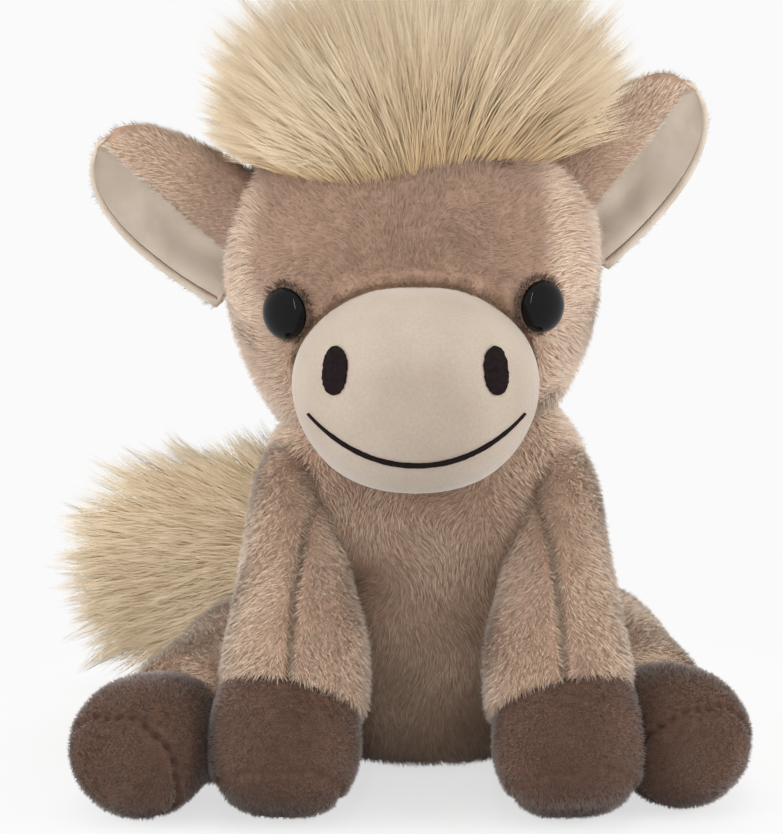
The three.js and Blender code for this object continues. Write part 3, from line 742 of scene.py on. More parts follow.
# %% [markdown]
# Each sole is sewn round its hoof, and the stitches draw the cloth in. Where a front leg meets the
# body, both swell toward each other, because sewn and stuffed cloth has no sharp inner corner.


# %% Seams and soft corners
SEAM_HALF = 0.9 * MM
SEAM_SWELL = 0.4 * MM
FILLET_FROM, FILLET_FULL = 46 * MM, 64 * MM


def from_seam(points, leg, matrix):
    """How far points lie above a hoof's seam, along the leg. The seam waves a little and may tilt."""
    turn = np.arctan2(points[:, 1], points[:, 0])
    wave = 0.5 * MM * np.sin(3 * turn + 1) + 0.35 * MM * np.sin(7 * turn)
    up = points @ (np.array([0, 0, 1]) @ np.array(matrix.to_3x3()) * [1, 1, 0])
    seam = leg["sole"] + HOOF_RISE - leg["reach"] - leg["half"]
    return points[:, 2] - seam - wave - leg["tilt"] * up


def seamed(piece, leg, matrix):
    """Draws in a seam round a hoof, with a few uneven stitches."""
    points = points_of(piece)
    turn = np.arctan2(points[:, 1], points[:, 0])
    off = from_seam(points, leg, matrix) / SEAM_HALF
    groove = leg["seam"] * (0.8 + 0.2 * np.sin(23 * turn)) * np.exp(-(off**2))
    swell = SEAM_SWELL * np.exp(-((off / 3.5) ** 2))
    set_points(piece, points - normals_of(piece) * (groove - swell)[:, None])


def filleted(piece, other, reach):
    """Swells a piece where it meets another one high up, so that the two run together softly."""
    points = points_of(piece)
    tree = tree_of(other)
    away = np.array([tree.find_nearest(point)[3] for point in points])
    near = reach / 4 * np.clip(1 - away / reach, 0, 1) ** 2
    swell = near * smooth_step(points[:, 2], FILLET_FROM, FILLET_FULL)
    set_points(piece, points + normals_of(piece) * swell[:, None])


print("a hoof's seam is", round(2 * SEAM_HALF / MM, 1), "mm wide")

# %% [markdown]
# Now each leg is made. A front leg's sleeve is attached to no body, with its placing baked into its
# mesh, and its hoof rides whole with its leg.


# %% Leg pieces
BEND_FROM, BEND_TO = 9 * MM, -27 * MM
SLEEVE_FILLET = 20 * MM
BODY_FILLET = 32 * MM
HOOF_OUT = 1.5 * MM


def leg_bend(leg, matrix):
    """Two points along a front leg, whose presence leaves its sleeve unattached. A hind leg turns whole."""
    if leg["kind"] == "hind":
        return None
    return [matrix @ Vector((0, 0, height)) for height in (BEND_FROM, BEND_TO)]


def make_leg(name):
    """The sleeve and hoof of one leg."""
    leg = legs[name]
    matrix = along_limb(name)
    wide = leg["wide"] - PILE_RISE
    low = (-wide, -wide, -leg["cuff"] + 0.5 * MM)
    high = (wide, wide, leg["top"] - PILE_RISE)
    sleeve = lofted(name + "_sleeve", low, high, leg["rings"], levels=3)
    if leg["kind"] == "front":
        creased(sleeve, matrix, leg["side"])
        drawn_to_shoulder(sleeve, matrix, leg["side"])
    radius = leg["radius"] - HOOF_RISE
    end, start = -leg["reach"] - leg["half"] + HOOF_RISE, -leg["reach"] + leg["half"]
    hoof = lofted(name + "_boot", (-radius, -radius, end), (radius, radius, start), HOOF, levels=4)
    seamed(hoof, leg, matrix)
    if leg["kind"] == "front":
        set_points(hoof, points_of(hoof) + HOOF_OUT * sideways(matrix, leg["side"])[0])
    bend = leg_bend(leg, matrix)
    for piece in (sleeve, hoof):
        placed(piece, matrix)
        pressed(piece)
    if bend:
        filleted(sleeve, body_skin, SLEEVE_FILLET)
    on_body(dressed(sleeve, tan_skin), name, [name + "_cover", name + "_filling"], bend)
    on_body(dressed(hoof, brown_skin), name, [name + "_hoof", name + "_sole"])
    return {"sleeve": sleeve, "hoof": hoof, "matrix": matrix, "bend": bend}


for name in legs:
    legs[name].update(make_leg(name))
for side, _ in SIDES:
    filleted(body_skin, legs["front_leg_" + side]["sleeve"], BODY_FILLET)
print("legs:", list(legs))

# %% [markdown]
# ## Ears
# An ear is a leaf of two cloths. Seen across, the leaf is a shallow cup from its lower edge up to
# a fold, and from the fold the cloth comes back down in front. We write that as a grid of points,
# because no simple operator rolls a leaf so, and close the leaf's two faces along its rim.

# %% Ear shape
EAR_ALONG = 30
EAR_ACROSS = 44
EAR_THICK = 2.0 * MM
LINING_LIFT = 0.3 * MM
LINING_HALF = 0.45 * MM
EAR_LOW = -14 * MM
EAR_HIGH = 16 * MM
EAR_TIP = 2.5 * MM
EAR_CUP = 5 * MM
FOLD_RADIUS = 2.3 * MM
FOLD_EDGE = (-0.5 * MM, 6 * MM)


def ear_section(along):
    """The line across an ear, as (up, ahead) points from its lower edge to its folded edge."""
    taper = math.sqrt(max(1 - along**3.2, 0.0004))
    low = EAR_TIP + (EAR_LOW - EAR_TIP) * taper
    high = EAR_TIP + (EAR_HIGH - EAR_TIP) * taper
    radius = FOLD_RADIUS * taper
    cup = EAR_CUP * (1 - 0.45 * along) * taper
    s = np.linspace(0, 1, 40)
    sheet_up = low + (high - radius - low) * s
    sheet_ahead = cup * ((2 * s - 1) ** 2 - 0.35 * s)
    angle = np.linspace(0, np.pi, 12)[1:]
    fold_up = sheet_up[-1] + radius * np.sin(angle)
    fold_ahead = sheet_ahead[-1] + radius * (1 - np.cos(angle))
    edge = min(FOLD_EDGE[0] + (FOLD_EDGE[1] - FOLD_EDGE[0]) * along, sheet_up[-1] - 0.2 * MM)
    t = np.linspace(0, 1, 24)[1:]
    panel_up = fold_up[-1] + (edge - fold_up[-1]) * t
    panel_ahead = fold_ahead[-1] + 1.6 * MM * taper * np.sin(np.pi * t) - 0.4 * cup * t
    return np.stack([
        np.concatenate([sheet_up, fold_up, panel_up]),
        np.concatenate([sheet_ahead, fold_ahead, panel_ahead]),
    ], axis=1)


def sheet_points(length, lift, inset=0.0):
    """A grid of an ear's points, lifted to its inner side, and a little in from its edge."""
    rows = []
    for along in np.linspace(0, 1 - inset * 0.6, EAR_ALONG) ** 0.75:
        line = ear_section(along)
        run = np.concatenate([[0], np.cumsum(np.linalg.norm(np.diff(line, axis=0), axis=1))])
        wanted = np.linspace(inset, 1 - inset, EAR_ACROSS) * run[-1]
        up, ahead = (np.interp(wanted, run, line[:, axis]) for axis in (0, 1))
        slope = np.stack([np.gradient(up), np.gradient(ahead)], axis=1)
        slope /= np.maximum(np.linalg.norm(slope, axis=1, keepdims=True), 1e-9)
        out = np.full(EAR_ACROSS, length * along)
        rows.append(np.stack([out, up - lift * slope[:, 1], ahead + lift * slope[:, 0]], axis=1))
    return np.concatenate(rows)


print("an ear is a grid of", EAR_ALONG, "by", EAR_ACROSS, "points")

# %% [markdown]
# Two such grids, one behind the other, make a closed leaf once their rims are joined. The ring of
# piping is a thin tube round the same rim.


# %% Closed sheets and piping
def rim_cells(rows, columns):
    """The cells round a grid, in order."""
    cells = [(0, j) for j in range(columns)] + [(i, columns - 1) for i in range(1, rows)]
    cells += [(rows - 1, j) for j in range(columns - 2, -1, -1)] + [(i, 0) for i in range(rows - 2, 0, -1)]
    return [i * columns + j for i, j in cells]


def closed_piece(name, points, faces):
    """A piece from the points and faces of a closed mesh, with its normals turned outward."""
    mesh = bpy.data.meshes.new(name)
    mesh.from_pydata([tuple(point) for point in points], [], faces)
    piece = bpy.data.objects.new(name, mesh)
    bpy.context.scene.collection.objects.link(piece)
    bpy.ops.object.select_all(action="DESELECT")
    piece.select_set(True)
    bpy.context.view_layer.objects.active = piece
    bpy.ops.object.mode_set(mode="EDIT")
    bpy.ops.mesh.select_all(action="SELECT")
    bpy.ops.mesh.normals_make_consistent(inside=False)
    bpy.ops.object.mode_set(mode="OBJECT")
    return piece


def closed_sheet(name, front, back, columns):
    """A closed piece from the two faces of a sheet, each a grid with so many columns."""
    count = len(front)
    rows = count // columns
    faces = []
    for i in range(rows - 1):
        for j in range(columns - 1):
            a = i * columns + j
            corners = (a, a + columns, a + columns + 1, a + 1)
            faces.append(corners)
            faces.append(tuple(count + c for c in reversed(corners)))
    rim = rim_cells(rows, columns)
    faces += [(b, a, count + a, count + b) for a, b in zip(rim, rim[1:] + rim[:1])]
    piece = closed_piece(name, (*front, *back), faces)
    bpy.ops.object.shade_smooth_by_angle(angle=math.radians(60))
    return piece


def piped(name, points, radius, sides=10):
    """A closed ring of piping round a line of points."""
    points = np.array(points)
    aims = np.roll(points, -1, 0) - np.roll(points, 1, 0)
    aims /= np.linalg.norm(aims, axis=1, keepdims=True)
    side = np.cross(aims, [0.3, 0.5, 0.8])
    side /= np.linalg.norm(side, axis=1, keepdims=True)
    up = np.cross(aims, side)
    angles = np.linspace(0, 2 * np.pi, sides, endpoint=False)
    rings = [points + radius * (np.cos(a) * side + np.sin(a) * up) for a in angles]
    count = len(points)
    faces = []
    for i in range(count):
        for j in range(sides):
            k, m = (i + 1) % count, (j + 1) % sides
            faces.append((i * sides + j, k * sides + j, k * sides + m, i * sides + m))
    piece = closed_piece(name, [ring[i] for i in range(count) for ring in rings], faces)
    bpy.ops.object.shade_smooth()
    return piece


print("the rim has", len(rim_cells(EAR_ALONG, EAR_ACROSS)), "points")

# %% [markdown]
# An ear's length runs from its root outward and up, its cup faces ahead and a little down, and
# the left ear is the right one mirrored, set higher as the photograph shows. A thin ring of piping
# stands for the seam that is turned outward at the rim, and small waves ruck the lining at its root.

# %% Ear pieces
EAR_LENGTH = 43 * MM
EAR_SINK = 6 * MM
EAR_RISE = {"right": math.radians(32), "left": math.radians(43)}
EAR_FACE_DOWN = math.radians(12)
EAR_BACK_LIFT = -0.2 * MM
SATIN_INSET = 0.02
SATIN_FOLD = 0.9 * MM
PIPING = 1.0 * MM


def ear_matrix(side, sign):
    """Turns (along, up, ahead) into the pony's own directions at the ear's root."""
    rise = EAR_RISE[side]
    out = Vector((sign * math.cos(rise), 0, math.sin(rise)))
    up = Vector((-sign * math.sin(rise), 0, math.cos(rise)))
    ahead = Vector((0, -1, 0)) * math.cos(EAR_FACE_DOWN) - up * math.sin(EAR_FACE_DOWN)
    up = up * math.cos(EAR_FACE_DOWN) + Vector((0, -1, 0)) * math.sin(EAR_FACE_DOWN)
    turn = Matrix((out, up, ahead)).transposed().to_4x4()
    root = joints[f"ear_{side}_fold"] - out * EAR_SINK
    return Matrix.Translation(root) @ turn


ears = {}
for side, sign in SIDES:
    matrix = ear_matrix(side, sign)
    inner, outer = (sheet_points(EAR_LENGTH, lift) for lift in (EAR_BACK_LIFT, -EAR_THICK))
    back = closed_sheet("ear_shell_" + side, inner, outer, EAR_ACROSS)
    lifts = (LINING_LIFT + LINING_HALF, LINING_LIFT - LINING_HALF)
    inner, outer = (sheet_points(EAR_LENGTH, lift, SATIN_INSET) for lift in lifts)
    front = closed_sheet("ear_satin_" + side, inner, outer, EAR_ACROSS)
    points = points_of(front)
    ruck = np.cos(points[:, 1] / (1.5 * MM) + 1.2 * np.sin(points[:, 0] / (7 * MM)))
    near_root = (1 - smooth_step(points[:, 0], 4 * MM, 30 * MM)) * (points[:, 1] < 2 * MM)
    points[:, 2] += SATIN_FOLD * ruck * near_root
    set_points(front, points)
    middle = sheet_points(EAR_LENGTH, -0.4 * EAR_THICK)
    edge = piped("ear_piping_" + side, middle[rim_cells(EAR_ALONG, EAR_ACROSS)], PIPING)
    for piece in (back, front, edge):
        placed(piece, matrix)
        if sign < 0:
            piece.data.flip_normals()
    on_body(dressed(back, tan_skin), "ear_" + side, ["ear_back_" + side])
    on_body(dressed(front, ear_satin), "ear_" + side, ["ear_lining_" + side])
    on_body(dressed(edge, ear_satin), "ear_" + side)
    ears[side] = {"back": back, "front": front, "edge": edge, "matrix": matrix}
print("ears:", list(ears))

# %% [markdown]
# ## Embroidery
# The nostrils and the smile are sewn with dark thread. Each is a flat grid that we lay on the muzzle
# with rays from the front, as a needle would meet it, and then give the thickness of the thread.


# %% Embroidery helpers
muzzle_tree = tree_of(muzzle_skin)


def laid_on_muzzle(points, lift):
    """Points moved back along +Y onto the muzzle, and lifted off it, with its normals."""
    laid, normals = [], []
    for x, z in points:
        start = Vector((x, muzzle_low.y - 0.05, z))
        place, normal, _, _ = muzzle_tree.ray_cast(start, Vector((0, 1, 0)))
        laid.append(place + normal * lift)
        normals.append(normal)
    return laid, normals


def raised_patch(name, rows, thickness):
    """A closed thin piece on the muzzle, from rows of (x, z) points."""
    outer, normals = laid_on_muzzle([point for row in rows for point in row], thickness)
    inner = [p - n * 2 * thickness for p, n in zip(outer, normals)]
    return closed_sheet(name, outer, inner, len(rows[0]))


print("the muzzle's front is at y", round(muzzle_low.y / MM, 1), "mm")

# %% [markdown]
# A nostril is an upright oval of satin stitch that leans a little. The smile is one shallow line
# with rising ends. Both edges waver by a fraction of a stitch, as hand-guided sewing does.

# %% Nostrils and smile
NOSTRIL_HALF_WIDTH = 2.6 * MM
NOSTRIL_HALF_HEIGHT = 5.0 * MM
NOSTRIL_LEAN = math.radians(6)
NOSTRIL_DROP = {"right": 0.0, "left": 0.9 * MM}
STITCH = 0.45 * MM
SMILE_HALF_WIDTH = 23.9 * MM
SMILE_DEPTH = 9.2 * MM
SMILE_THICK = 1.05 * MM
rng = np.random.default_rng(11)
for side, sign in SIDES:
    low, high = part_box("nostril_" + side)
    centre = (low + high) / 2
    rows = []
    for share in np.linspace(-0.995, 0.995, 27):
        half = NOSTRIL_HALF_WIDTH * (1 - abs(share) ** 2.5) ** 0.5 + 0.12 * MM * rng.uniform(-1, 1)
        height = share * NOSTRIL_HALF_HEIGHT
        x = centre.x - sign * math.tan(NOSTRIL_LEAN) * height
        z = centre.z - NOSTRIL_DROP[side] + height
        rows.append([(x + half * s, z) for s in np.linspace(-1, 1, 9)])
    nostril = dressed(raised_patch("nostril_stitches_" + side, rows, STITCH), dark_thread)
    on_body(nostril, "head", ["nostril_" + side])

smile_low, smile_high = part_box("smile_stitching")
smile_middle = (smile_low + smile_high) / 2
smile_rows = []
for share in np.linspace(-1, 1, 61):
    thick = SMILE_THICK / 2 * (0.35 + 0.65 * (1 - share**4)) + 0.05 * MM * rng.uniform(-1, 1)
    x = smile_middle.x + share * SMILE_HALF_WIDTH
    z = smile_low.z + 2.1 * MM + SMILE_DEPTH * abs(share) ** 2.1
    slope = 2.1 * SMILE_DEPTH / SMILE_HALF_WIDTH * abs(share) ** 1.1 * np.sign(share)
    across = Vector((-slope, 1)).normalized() * thick
    smile_rows.append([(x + across[0] * s, z + across[1] * s) for s in (-1, -0.33, 0.33, 1)])
smile = dressed(raised_patch("smile_thread", smile_rows, STITCH), dark_thread)
on_body(smile, "head", ["smile_stitching"])
print("smile spans", round((smile_high.x - smile_low.x) / MM, 1), "mm")

# %% [markdown]
# ## Hair
# A hair is a thin three-sided spike. Blender's own particle hair would be less work, but it isn't a
# mesh, and we want fur that stays on the toy wherever the file goes. So we grow all hairs of a piece
# at once as arrays, from random places on its skin, and give each its shade. Its normals lean to the
# skin's, which makes the coat shade softly.


# %% Places for hair
def drift(points, wavelength, seed):
    """Smooth noise in space, about -1 to 1, as a sum of waves."""
    source = np.random.default_rng(seed)
    ways = unit(source.normal(size=(9, 3)))
    waves = ways * source.uniform(0.6, 1.6, (9, 1)) * 2 * np.pi / wavelength
    return np.sin(points @ waves.T + source.uniform(0, 2 * np.pi, 9)).sum(1) / 2.6


def drift_vectors(points, wavelength, seed):
    """Smooth noise with a direction."""
    return np.stack([drift(points, wavelength, seed + axis) for axis in range(3)], axis=1)


def scattered(piece, count, source):
    """Random places on a piece, evenly by area, with their normals."""
    mesh = piece.data
    mesh.calc_loop_triangles()
    corners = np.empty(len(mesh.loop_triangles) * 3, int)
    mesh.loop_triangles.foreach_get("vertices", corners)
    corners = corners.reshape(-1, 3)
    points, normals = points_of(piece), normals_of(piece)
    a, b, c = (points[corners[:, i]] for i in range(3))
    area = np.linalg.norm(np.cross(b - a, c - a), axis=1)
    chosen = np.searchsorted(np.cumsum(area) / area.sum(), source.random(count))
    u, v = source.random((2, count, 1))
    over = u + v > 1
    u, v = np.where(over, 1 - u, u), np.where(over, 1 - v, v)
    weights = (1 - u - v, u, v)
    places = sum(w * points[corners[chosen, i]] for i, w in enumerate(weights))
    return places, unit(sum(w * normals[corners[chosen, i]] for i, w in enumerate(weights)))


print("noise here, there:", drift(np.array([[0, 0, 0], [0.01, 0, 0]]), 26 * MM, 1).round(2))

# %% [markdown]
# Each hair has rings of three points along its path and one at its tip. All hairs of a piece are one
# mesh, and every hair has its own little cell of the texture map, so that a pattern can be baked.


# %% Hair meshes
def hairs(name, paths, normals, widths, shades, patches, material, softness=0.82):
    """A mesh of hairs. Paths hold each hair's points, from its root to its tip.

    Softness is how far a hair's normals lean to those of the skin.
    """
    count, stations = paths.shape[:2]
    rings = stations - 1
    aims = unit(np.diff(paths, axis=1))
    source = np.random.default_rng(count)
    side = unit(np.cross(aims[:, 0], unit(source.normal(size=(count, 3)))))
    corners, corner_normals, alongs = [], [], []
    for k in range(rings):
        aim = aims[:, k]
        first = unit(side - aim * np.sum(side * aim, axis=1, keepdims=True))
        second = np.cross(aim, first)
        thick = (widths * (1 - 0.75 * k / rings) / 2)[:, None]
        for angle in (0, 2 * np.pi / 3, 4 * np.pi / 3):
            outward = np.cos(angle) * first + np.sin(angle) * second
            corners.append(paths[:, k] + outward * thick)
            corner_normals.append(unit(softness * normals + (1 - softness) * outward))
            alongs.append(np.full(count, k / rings))
    corners.append(paths[:, -1])
    corner_normals.append(unit(softness * normals + 0.3 * aims[:, -1]))
    alongs.append(np.ones(count))
    points = np.stack(corners, axis=1).reshape(-1, 3)
    size = 3 * rings + 1
    faces = []
    for k in range(rings - 1):
        for j in range(3):
            a, b = 3 * k + j, 3 * k + (j + 1) % 3
            faces += [(a, b, b + 3), (a, b + 3, a + 3)]
    faces += [(3 * rings - 3 + j, 3 * rings - 3 + (j + 1) % 3, 3 * rings) for j in range(3)]
    faces = np.array(faces)
    loops = (faces[None] + np.arange(count)[:, None, None] * size).reshape(-1)
    mesh = bpy.data.meshes.new(name)
    mesh.vertices.add(len(points))
    mesh.vertices.foreach_set("co", points.ravel())
    mesh.loops.add(len(loops))
    mesh.loops.foreach_set("vertex_index", loops.astype(np.int32))
    mesh.polygons.add(len(loops) // 3)
    mesh.polygons.foreach_set("loop_start", np.arange(0, len(loops), 3, dtype=np.int32))
    mesh.polygons.foreach_set("use_smooth", np.ones(len(loops) // 3, bool))
    along = np.stack(alongs, axis=1).reshape(-1)
    per_point = {"along": along, "shade": np.repeat(shades, size), "patch": np.repeat(patches, size)}
    for label, values in per_point.items():
        layer = mesh.attributes.new(label, "FLOAT", "POINT")
        layer.data.foreach_set("value", values.astype(np.float32))
    cells = math.ceil(math.sqrt(count))
    hair = np.repeat(np.arange(count), len(faces) * 3)
    across = np.tile(np.array([0.1, 0.9, 0.5] * len(faces)), count)
    beside, above = hair % cells + across, hair // cells + 0.1 + 0.8 * along[loops]
    uv = np.stack([beside / cells, above / cells], axis=1)
    mesh.uv_layers.new(name="OFBake").data.foreach_set("uv", uv.ravel().astype(np.float32))
    mesh.update()
    mesh.validate()
    mesh.normals_split_custom_set_from_vertices(np.stack(corner_normals, axis=1).reshape(-1, 3))
    mesh.materials.append(material)
    piece = bpy.data.objects.new(name, mesh)
    bpy.context.scene.collection.objects.link(piece)
    return piece


def depths(points, trees):
    """How deep each point lies inside any of some pieces; less than 0 is outside all."""
    deepest = np.full(len(points), -1.0)
    for tree in trees:
        for i, point in enumerate(points):
            place, normal, _, distance = tree.find_nearest(point)
            inside = (Vector(point) - place).dot(normal) < 0
            deepest[i] = max(deepest[i], distance if inside else -distance)
    return deepest


print("hair helpers ready")


# %% [markdown]
# A coat is combed one way, sways a little from place to place, and its hairs stray a little more.
# Where the coat is rubbed or pressed its hairs are shorter, and where light or shade falls it is
# painted paler or darker. Each coat below says so with two small functions: how much of a hair to
# keep, and how much light or shade is painted on it.


# %% Coats
ROOT_DEPTH = 0.3 * MM


def coat(
    name, skin, per_square_mm, comb, seed, keep=None, painted_light=None, fur=None,
    length=PILE, width=0.3 * MM, lean=PILE_LEAN, stray=0.14, mottle=0.14,
):
    """The pile of a skin. Its painted light function paints places paler above 0, and paints shade below 0.
    """
    source = np.random.default_rng(seed)
    area = sum(p.area for p in skin.data.polygons) / MM**2
    roots, normals = scattered(skin, int(area * per_square_mm), source)
    share = np.ones(len(roots)) if keep is None else keep(roots, normals)
    roots, normals, share = roots[share > 0.05], normals[share > 0.05], share[share > 0.05]
    flow = unit(comb(roots)) + 0.45 * drift_vectors(roots, 26 * MM, seed + 1)
    flow = unit(flow - normals * np.sum(flow * normals, axis=1, keepdims=True))
    flow = unit(flow + stray * source.normal(size=roots.shape))
    tufts = drift(roots, 9 * MM, seed + 7)
    angle = lean * (1 + 0.05 * tufts + 0.09 * source.normal(size=len(roots)))
    aim = unit(normals * np.cos(angle)[:, None] + flow * np.sin(angle)[:, None])
    lengths = length * share * source.uniform(0.7, 1.1, len(roots)) * (1 + 0.04 * tufts)
    tips = roots + aim * lengths[:, None]
    paths = np.stack([roots - ROOT_DEPTH * normals, tips], axis=1)
    paths[:, :, 2] = np.maximum(paths[:, :, 2], HAIR_GAP)
    patches = 0.55 + mottle * drift(roots, 22 * MM, seed + 3) + 0.03 * drift(roots, 6 * MM, seed + 5)
    # Painted light and shade, from each coat's own function.
    if painted_light:
        patches = patches + painted_light(roots)
    patches = np.clip(patches, 0, 1)
    widths = width * source.uniform(0.7, 1.2, len(roots))
    shades = source.random(len(roots))
    return hairs(name, paths, normals, widths, shades, patches, fur or tan_fur)


def combed(direction):
    """A coat combed one way all over."""
    return lambda points: np.tile(np.array(direction), (len(points), 1))


print("pile:", round(PILE / MM, 1), "mm, and", round(HOOF_PILE / MM, 1), "mm on the hooves")

# %% [markdown]
# On the face the pile runs away from the muzzle. Round the eyes it is short, as if trimmed. On the
# brow it is painted darker, as painted shade, and on the sides of the head paler, as painted light.

# %% Coat of the head
head_trees = [tree_of(muzzle_skin)]
face_centre = np.array(muzzle_middle)


def combed_face(points):
    """Away from the muzzle and down, but over the muzzle's seam beside it."""
    away = unit(points - face_centre)
    beside = smooth_step(-depths(points, head_trees), 0.5 * MM, 5 * MM)[:, None]
    return away * (1.5 * beside - 0.6) + np.array(FALL) * 0.55 * beside


def head_keep(points, normals):
    """No hair under the muzzle or the eyes, and short hair beside them."""
    inside = depths(points, head_trees)
    share = 0.6 + 0.4 * smooth_step(-inside, 0, 7 * MM)
    share[inside > 0.1 * MM] = 0
    for eye in eyes.values():
        away = points - np.array(eye["rim"])
        look = np.array(eye["look"])
        height = away @ look
        around = np.linalg.norm(away - np.outer(height, look), axis=1)
        near = np.linalg.norm(away, axis=1) < 16 * MM
        share = np.where(near, share * (0.6 + 0.4 * smooth_step(around, 6 * MM, 12 * MM)), share)
        share[near & (around < 5.5 * MM)] = 0
    return share


def brow_and_cheeks(points):
    """The brow's gusset is painted darker, as painted shade, the head's sides paler, as painted light, and
    the muzzle's top seam darker, as a painted shadow.
    """
    low, high = eyes["right"]["rim"].z, eyes["right"]["rim"].z + 8 * MM
    brow = smooth_step(points[:, 2], low, high)
    beside = smooth_step(np.abs(points[:, 0] - head_middle.x + 3 * MM), 28 * MM, 36 * MM)
    brow *= 1 - beside
    gap = -depths(points, head_trees)
    # A painted shadow along the seam at the top of the muzzle.
    seam = (1 - smooth_step(gap, 0.5 * MM, 2.2 * MM)) * (points[:, 2] > muzzle_middle.z + 4 * MM)
    return 0.03 + 0.3 * beside - 0.8 * brow - seam


head_coat = coat("head_coat", head_skin, 3.4, combed_face, 3, head_keep, brow_and_cheeks)
on_body(head_coat, "head")
print("head coat:", len(head_coat.data.polygons), "faces")

# %% [markdown]
# Along the top of the muzzle, the longer hairs of the seam fall over the velour and hide the seam.
# They are a coat of their own on the same skin, and only a narrow line of it is kept. Their darker
# colour is the seam's painted shade.


# %% Fringe over the muzzle's seam
# Darker than the tan coat: painted shade of the seam below the fringe.
SHADED_FRINGE_FUR = seen(158, 126, 98), seen(98, 74, 56), seen(196, 166, 136)


def over_seam(points, normals):
    """Only the line along the top of the muzzle."""
    gap = -depths(points, head_trees)
    return ((gap > 0) & (gap < 1.3 * MM) & (points[:, 2] > muzzle_middle.z + 4 * MM)).astype(float)


def onto_muzzle(points):
    """Combed down over the muzzle."""
    return unit(face_centre - points) + np.array([0, -0.6, 0.2])


shaded_fringe_fur = fur_material("seam fringe", *SHADED_FRINGE_FUR, sheen=0.2)
fringe = coat(
    "muzzle_fringe", head_skin, 14, onto_muzzle, 31, over_seam, fur=shaded_fringe_fur, length=3.2 * MM, stray=0.5
)
on_body(fringe, "head")
print("muzzle fringe:", len(fringe.data.polygons), "faces")

# %% [markdown]
# A thin ring of hairs stands round each eye, where the cloth dips to the eye's shank, painted darker
# as the shade that lies there. It is a coat of its own too, so that it can have its own colour.


# %% Dark hairs over the eyes
# Dark brown: painted shade round the eyes.
EYE_SHADE_FUR = seen(96, 76, 64), seen(48, 38, 34), seen(130, 106, 90)


def over_eyes(points, normals):
    """Only a thin ring round each eye, and denser over it."""
    share = np.zeros(len(points))
    for eye in eyes.values():
        away = points - np.array(eye["rim"])
        look = np.array(eye["look"])
        across = away - np.outer(away @ look, look)
        around = np.linalg.norm(across, axis=1)
        ring = (around > 5.3 * MM) & (around < 6.6 * MM) & (np.linalg.norm(away, axis=1) < 12 * MM)
        share[ring] = 0.5 + 0.5 * smooth_step(across[ring, 2], 0, 5 * MM)
    return share


def from_eyes(points):
    """Away from the nearer eye."""
    rims = [np.array(eye["rim"]) for eye in eyes.values()]
    return np.where(points[:, :1] < head_middle.x, points - rims[0], points - rims[1])


eye_shade_fur = fur_material("eye fringe", *EYE_SHADE_FUR, sheen=0.1)
eye_shade_hairs = coat(
    "eye_fringe", head_skin, 9, from_eyes, 57, over_eyes, fur=eye_shade_fur, length=2.6 * MM,
    lean=math.radians(35),
)
on_body(eye_shade_hairs, "head")
print("eye fringe:", len(eye_shade_hairs.data.polygons), "faces")

# %% [markdown]
# The body wears the same plush as the head, combed down. Hair that would lie deep in another piece
# is left out. It is painted paler beside the legs, as painted light, and darker at the seat, as
# painted shade near the floor.

# %% Coat of the body
HIDDEN = 5 * MM
body_tree = tree_of(body_skin)
head_tree = tree_of(head_skin)
for leg in legs.values():
    leg["tree"] = tree_of(leg["sleeve"])


def not_buried(trees):
    """Leaves out hair that is deep inside other pieces."""
    return lambda points, normals: (depths(points, trees) < HIDDEN).astype(float)


body_keep = not_buried([leg["tree"] for leg in legs.values()] + [head_tree])


def pale_shoulders(points):
    """Painted light as pale as the legs beside and above them, and painted shade at the seat, near the
    floor.
    """
    aside = smooth_step(np.abs(points[:, 0]), 12 * MM, 28 * MM)
    # Painted shade at the seat, low down next to the floor.
    seat_shade = 1 - smooth_step(points[:, 2], 4 * MM, 30 * MM)
    return 0.07 + 0.23 * aside * smooth_step(points[:, 2], 40 * MM, 62 * MM) - 0.45 * seat_shade


body_coat = coat("body_coat", body_skin, 3.3, combed(FALL), 21, body_keep, pale_shoulders)
on_body(body_coat, "torso")
print("body coat:", len(body_coat.data.polygons), "faces")

# %% [markdown]
# The legs' pile is combed down along each leg and painted paler, most on the outer sides, as
# painted light. The hooves have a nap so short that it must be dense; it is shorter beside the
# sole's seam, and painted darker there, as the seam's painted shade.


# %% Coats of the legs
def paler(points, share=0.16):
    """Painted light on the pile of the legs, most of all on their outer sides."""
    return share + 0.35 * smooth_step(np.abs(points[:, 0]), 30 * MM, 48 * MM)


def palest(points):
    """The painted light on the pile of the hind legs, paler still."""
    return paler(points, 0.45)


def near_seam(leg):
    """Two functions for a hoof: how long its nap is, and how much painted shade it has, near the sole's
    seam.
    """
    inverse = leg["matrix"].inverted()

    def away(points):
        own = points @ np.array(inverse.to_3x3()).T + np.array(inverse.translation)
        return smooth_step(np.abs(from_seam(own, leg, leg["matrix"])), 0.2 * MM, 1.6 * MM)

    # The second function paints shade along the seam's groove.
    return lambda points, normals: 0.3 + 0.7 * away(points), lambda points: 0.9 * away(points) - 0.9


for i, (name, leg) in enumerate(legs.items()):
    comb = combed(leg["matrix"].to_3x3() @ FALL)
    sleeve_keep = not_buried([body_tree, head_tree])
    # Painted light: the front legs are painted paler, and the hind legs paler still.
    painted_light = paler if leg["bend"] else palest
    sleeve_coat = coat(
        name + "_coat", leg["sleeve"], 4.6, comb, 40 + 10 * i, sleeve_keep, painted_light, length=2.5 * MM,
        width=0.27 * MM, mottle=0.12,
    )
    on_body(sleeve_coat, name, bend=leg["bend"])
    nap_keep, nap_seam_shade = near_seam(leg)
    hoof_coat = coat(
        name + "_nap", leg["hoof"], 5.0, comb, 45 + 10 * i, nap_keep, nap_seam_shade, brown_fur, HOOF_PILE,
        width=0.28 * MM, lean=math.radians(42), stray=0.8,
    )
    on_body(hoof_coat, name)
print("coats on", len(legs), "legs")

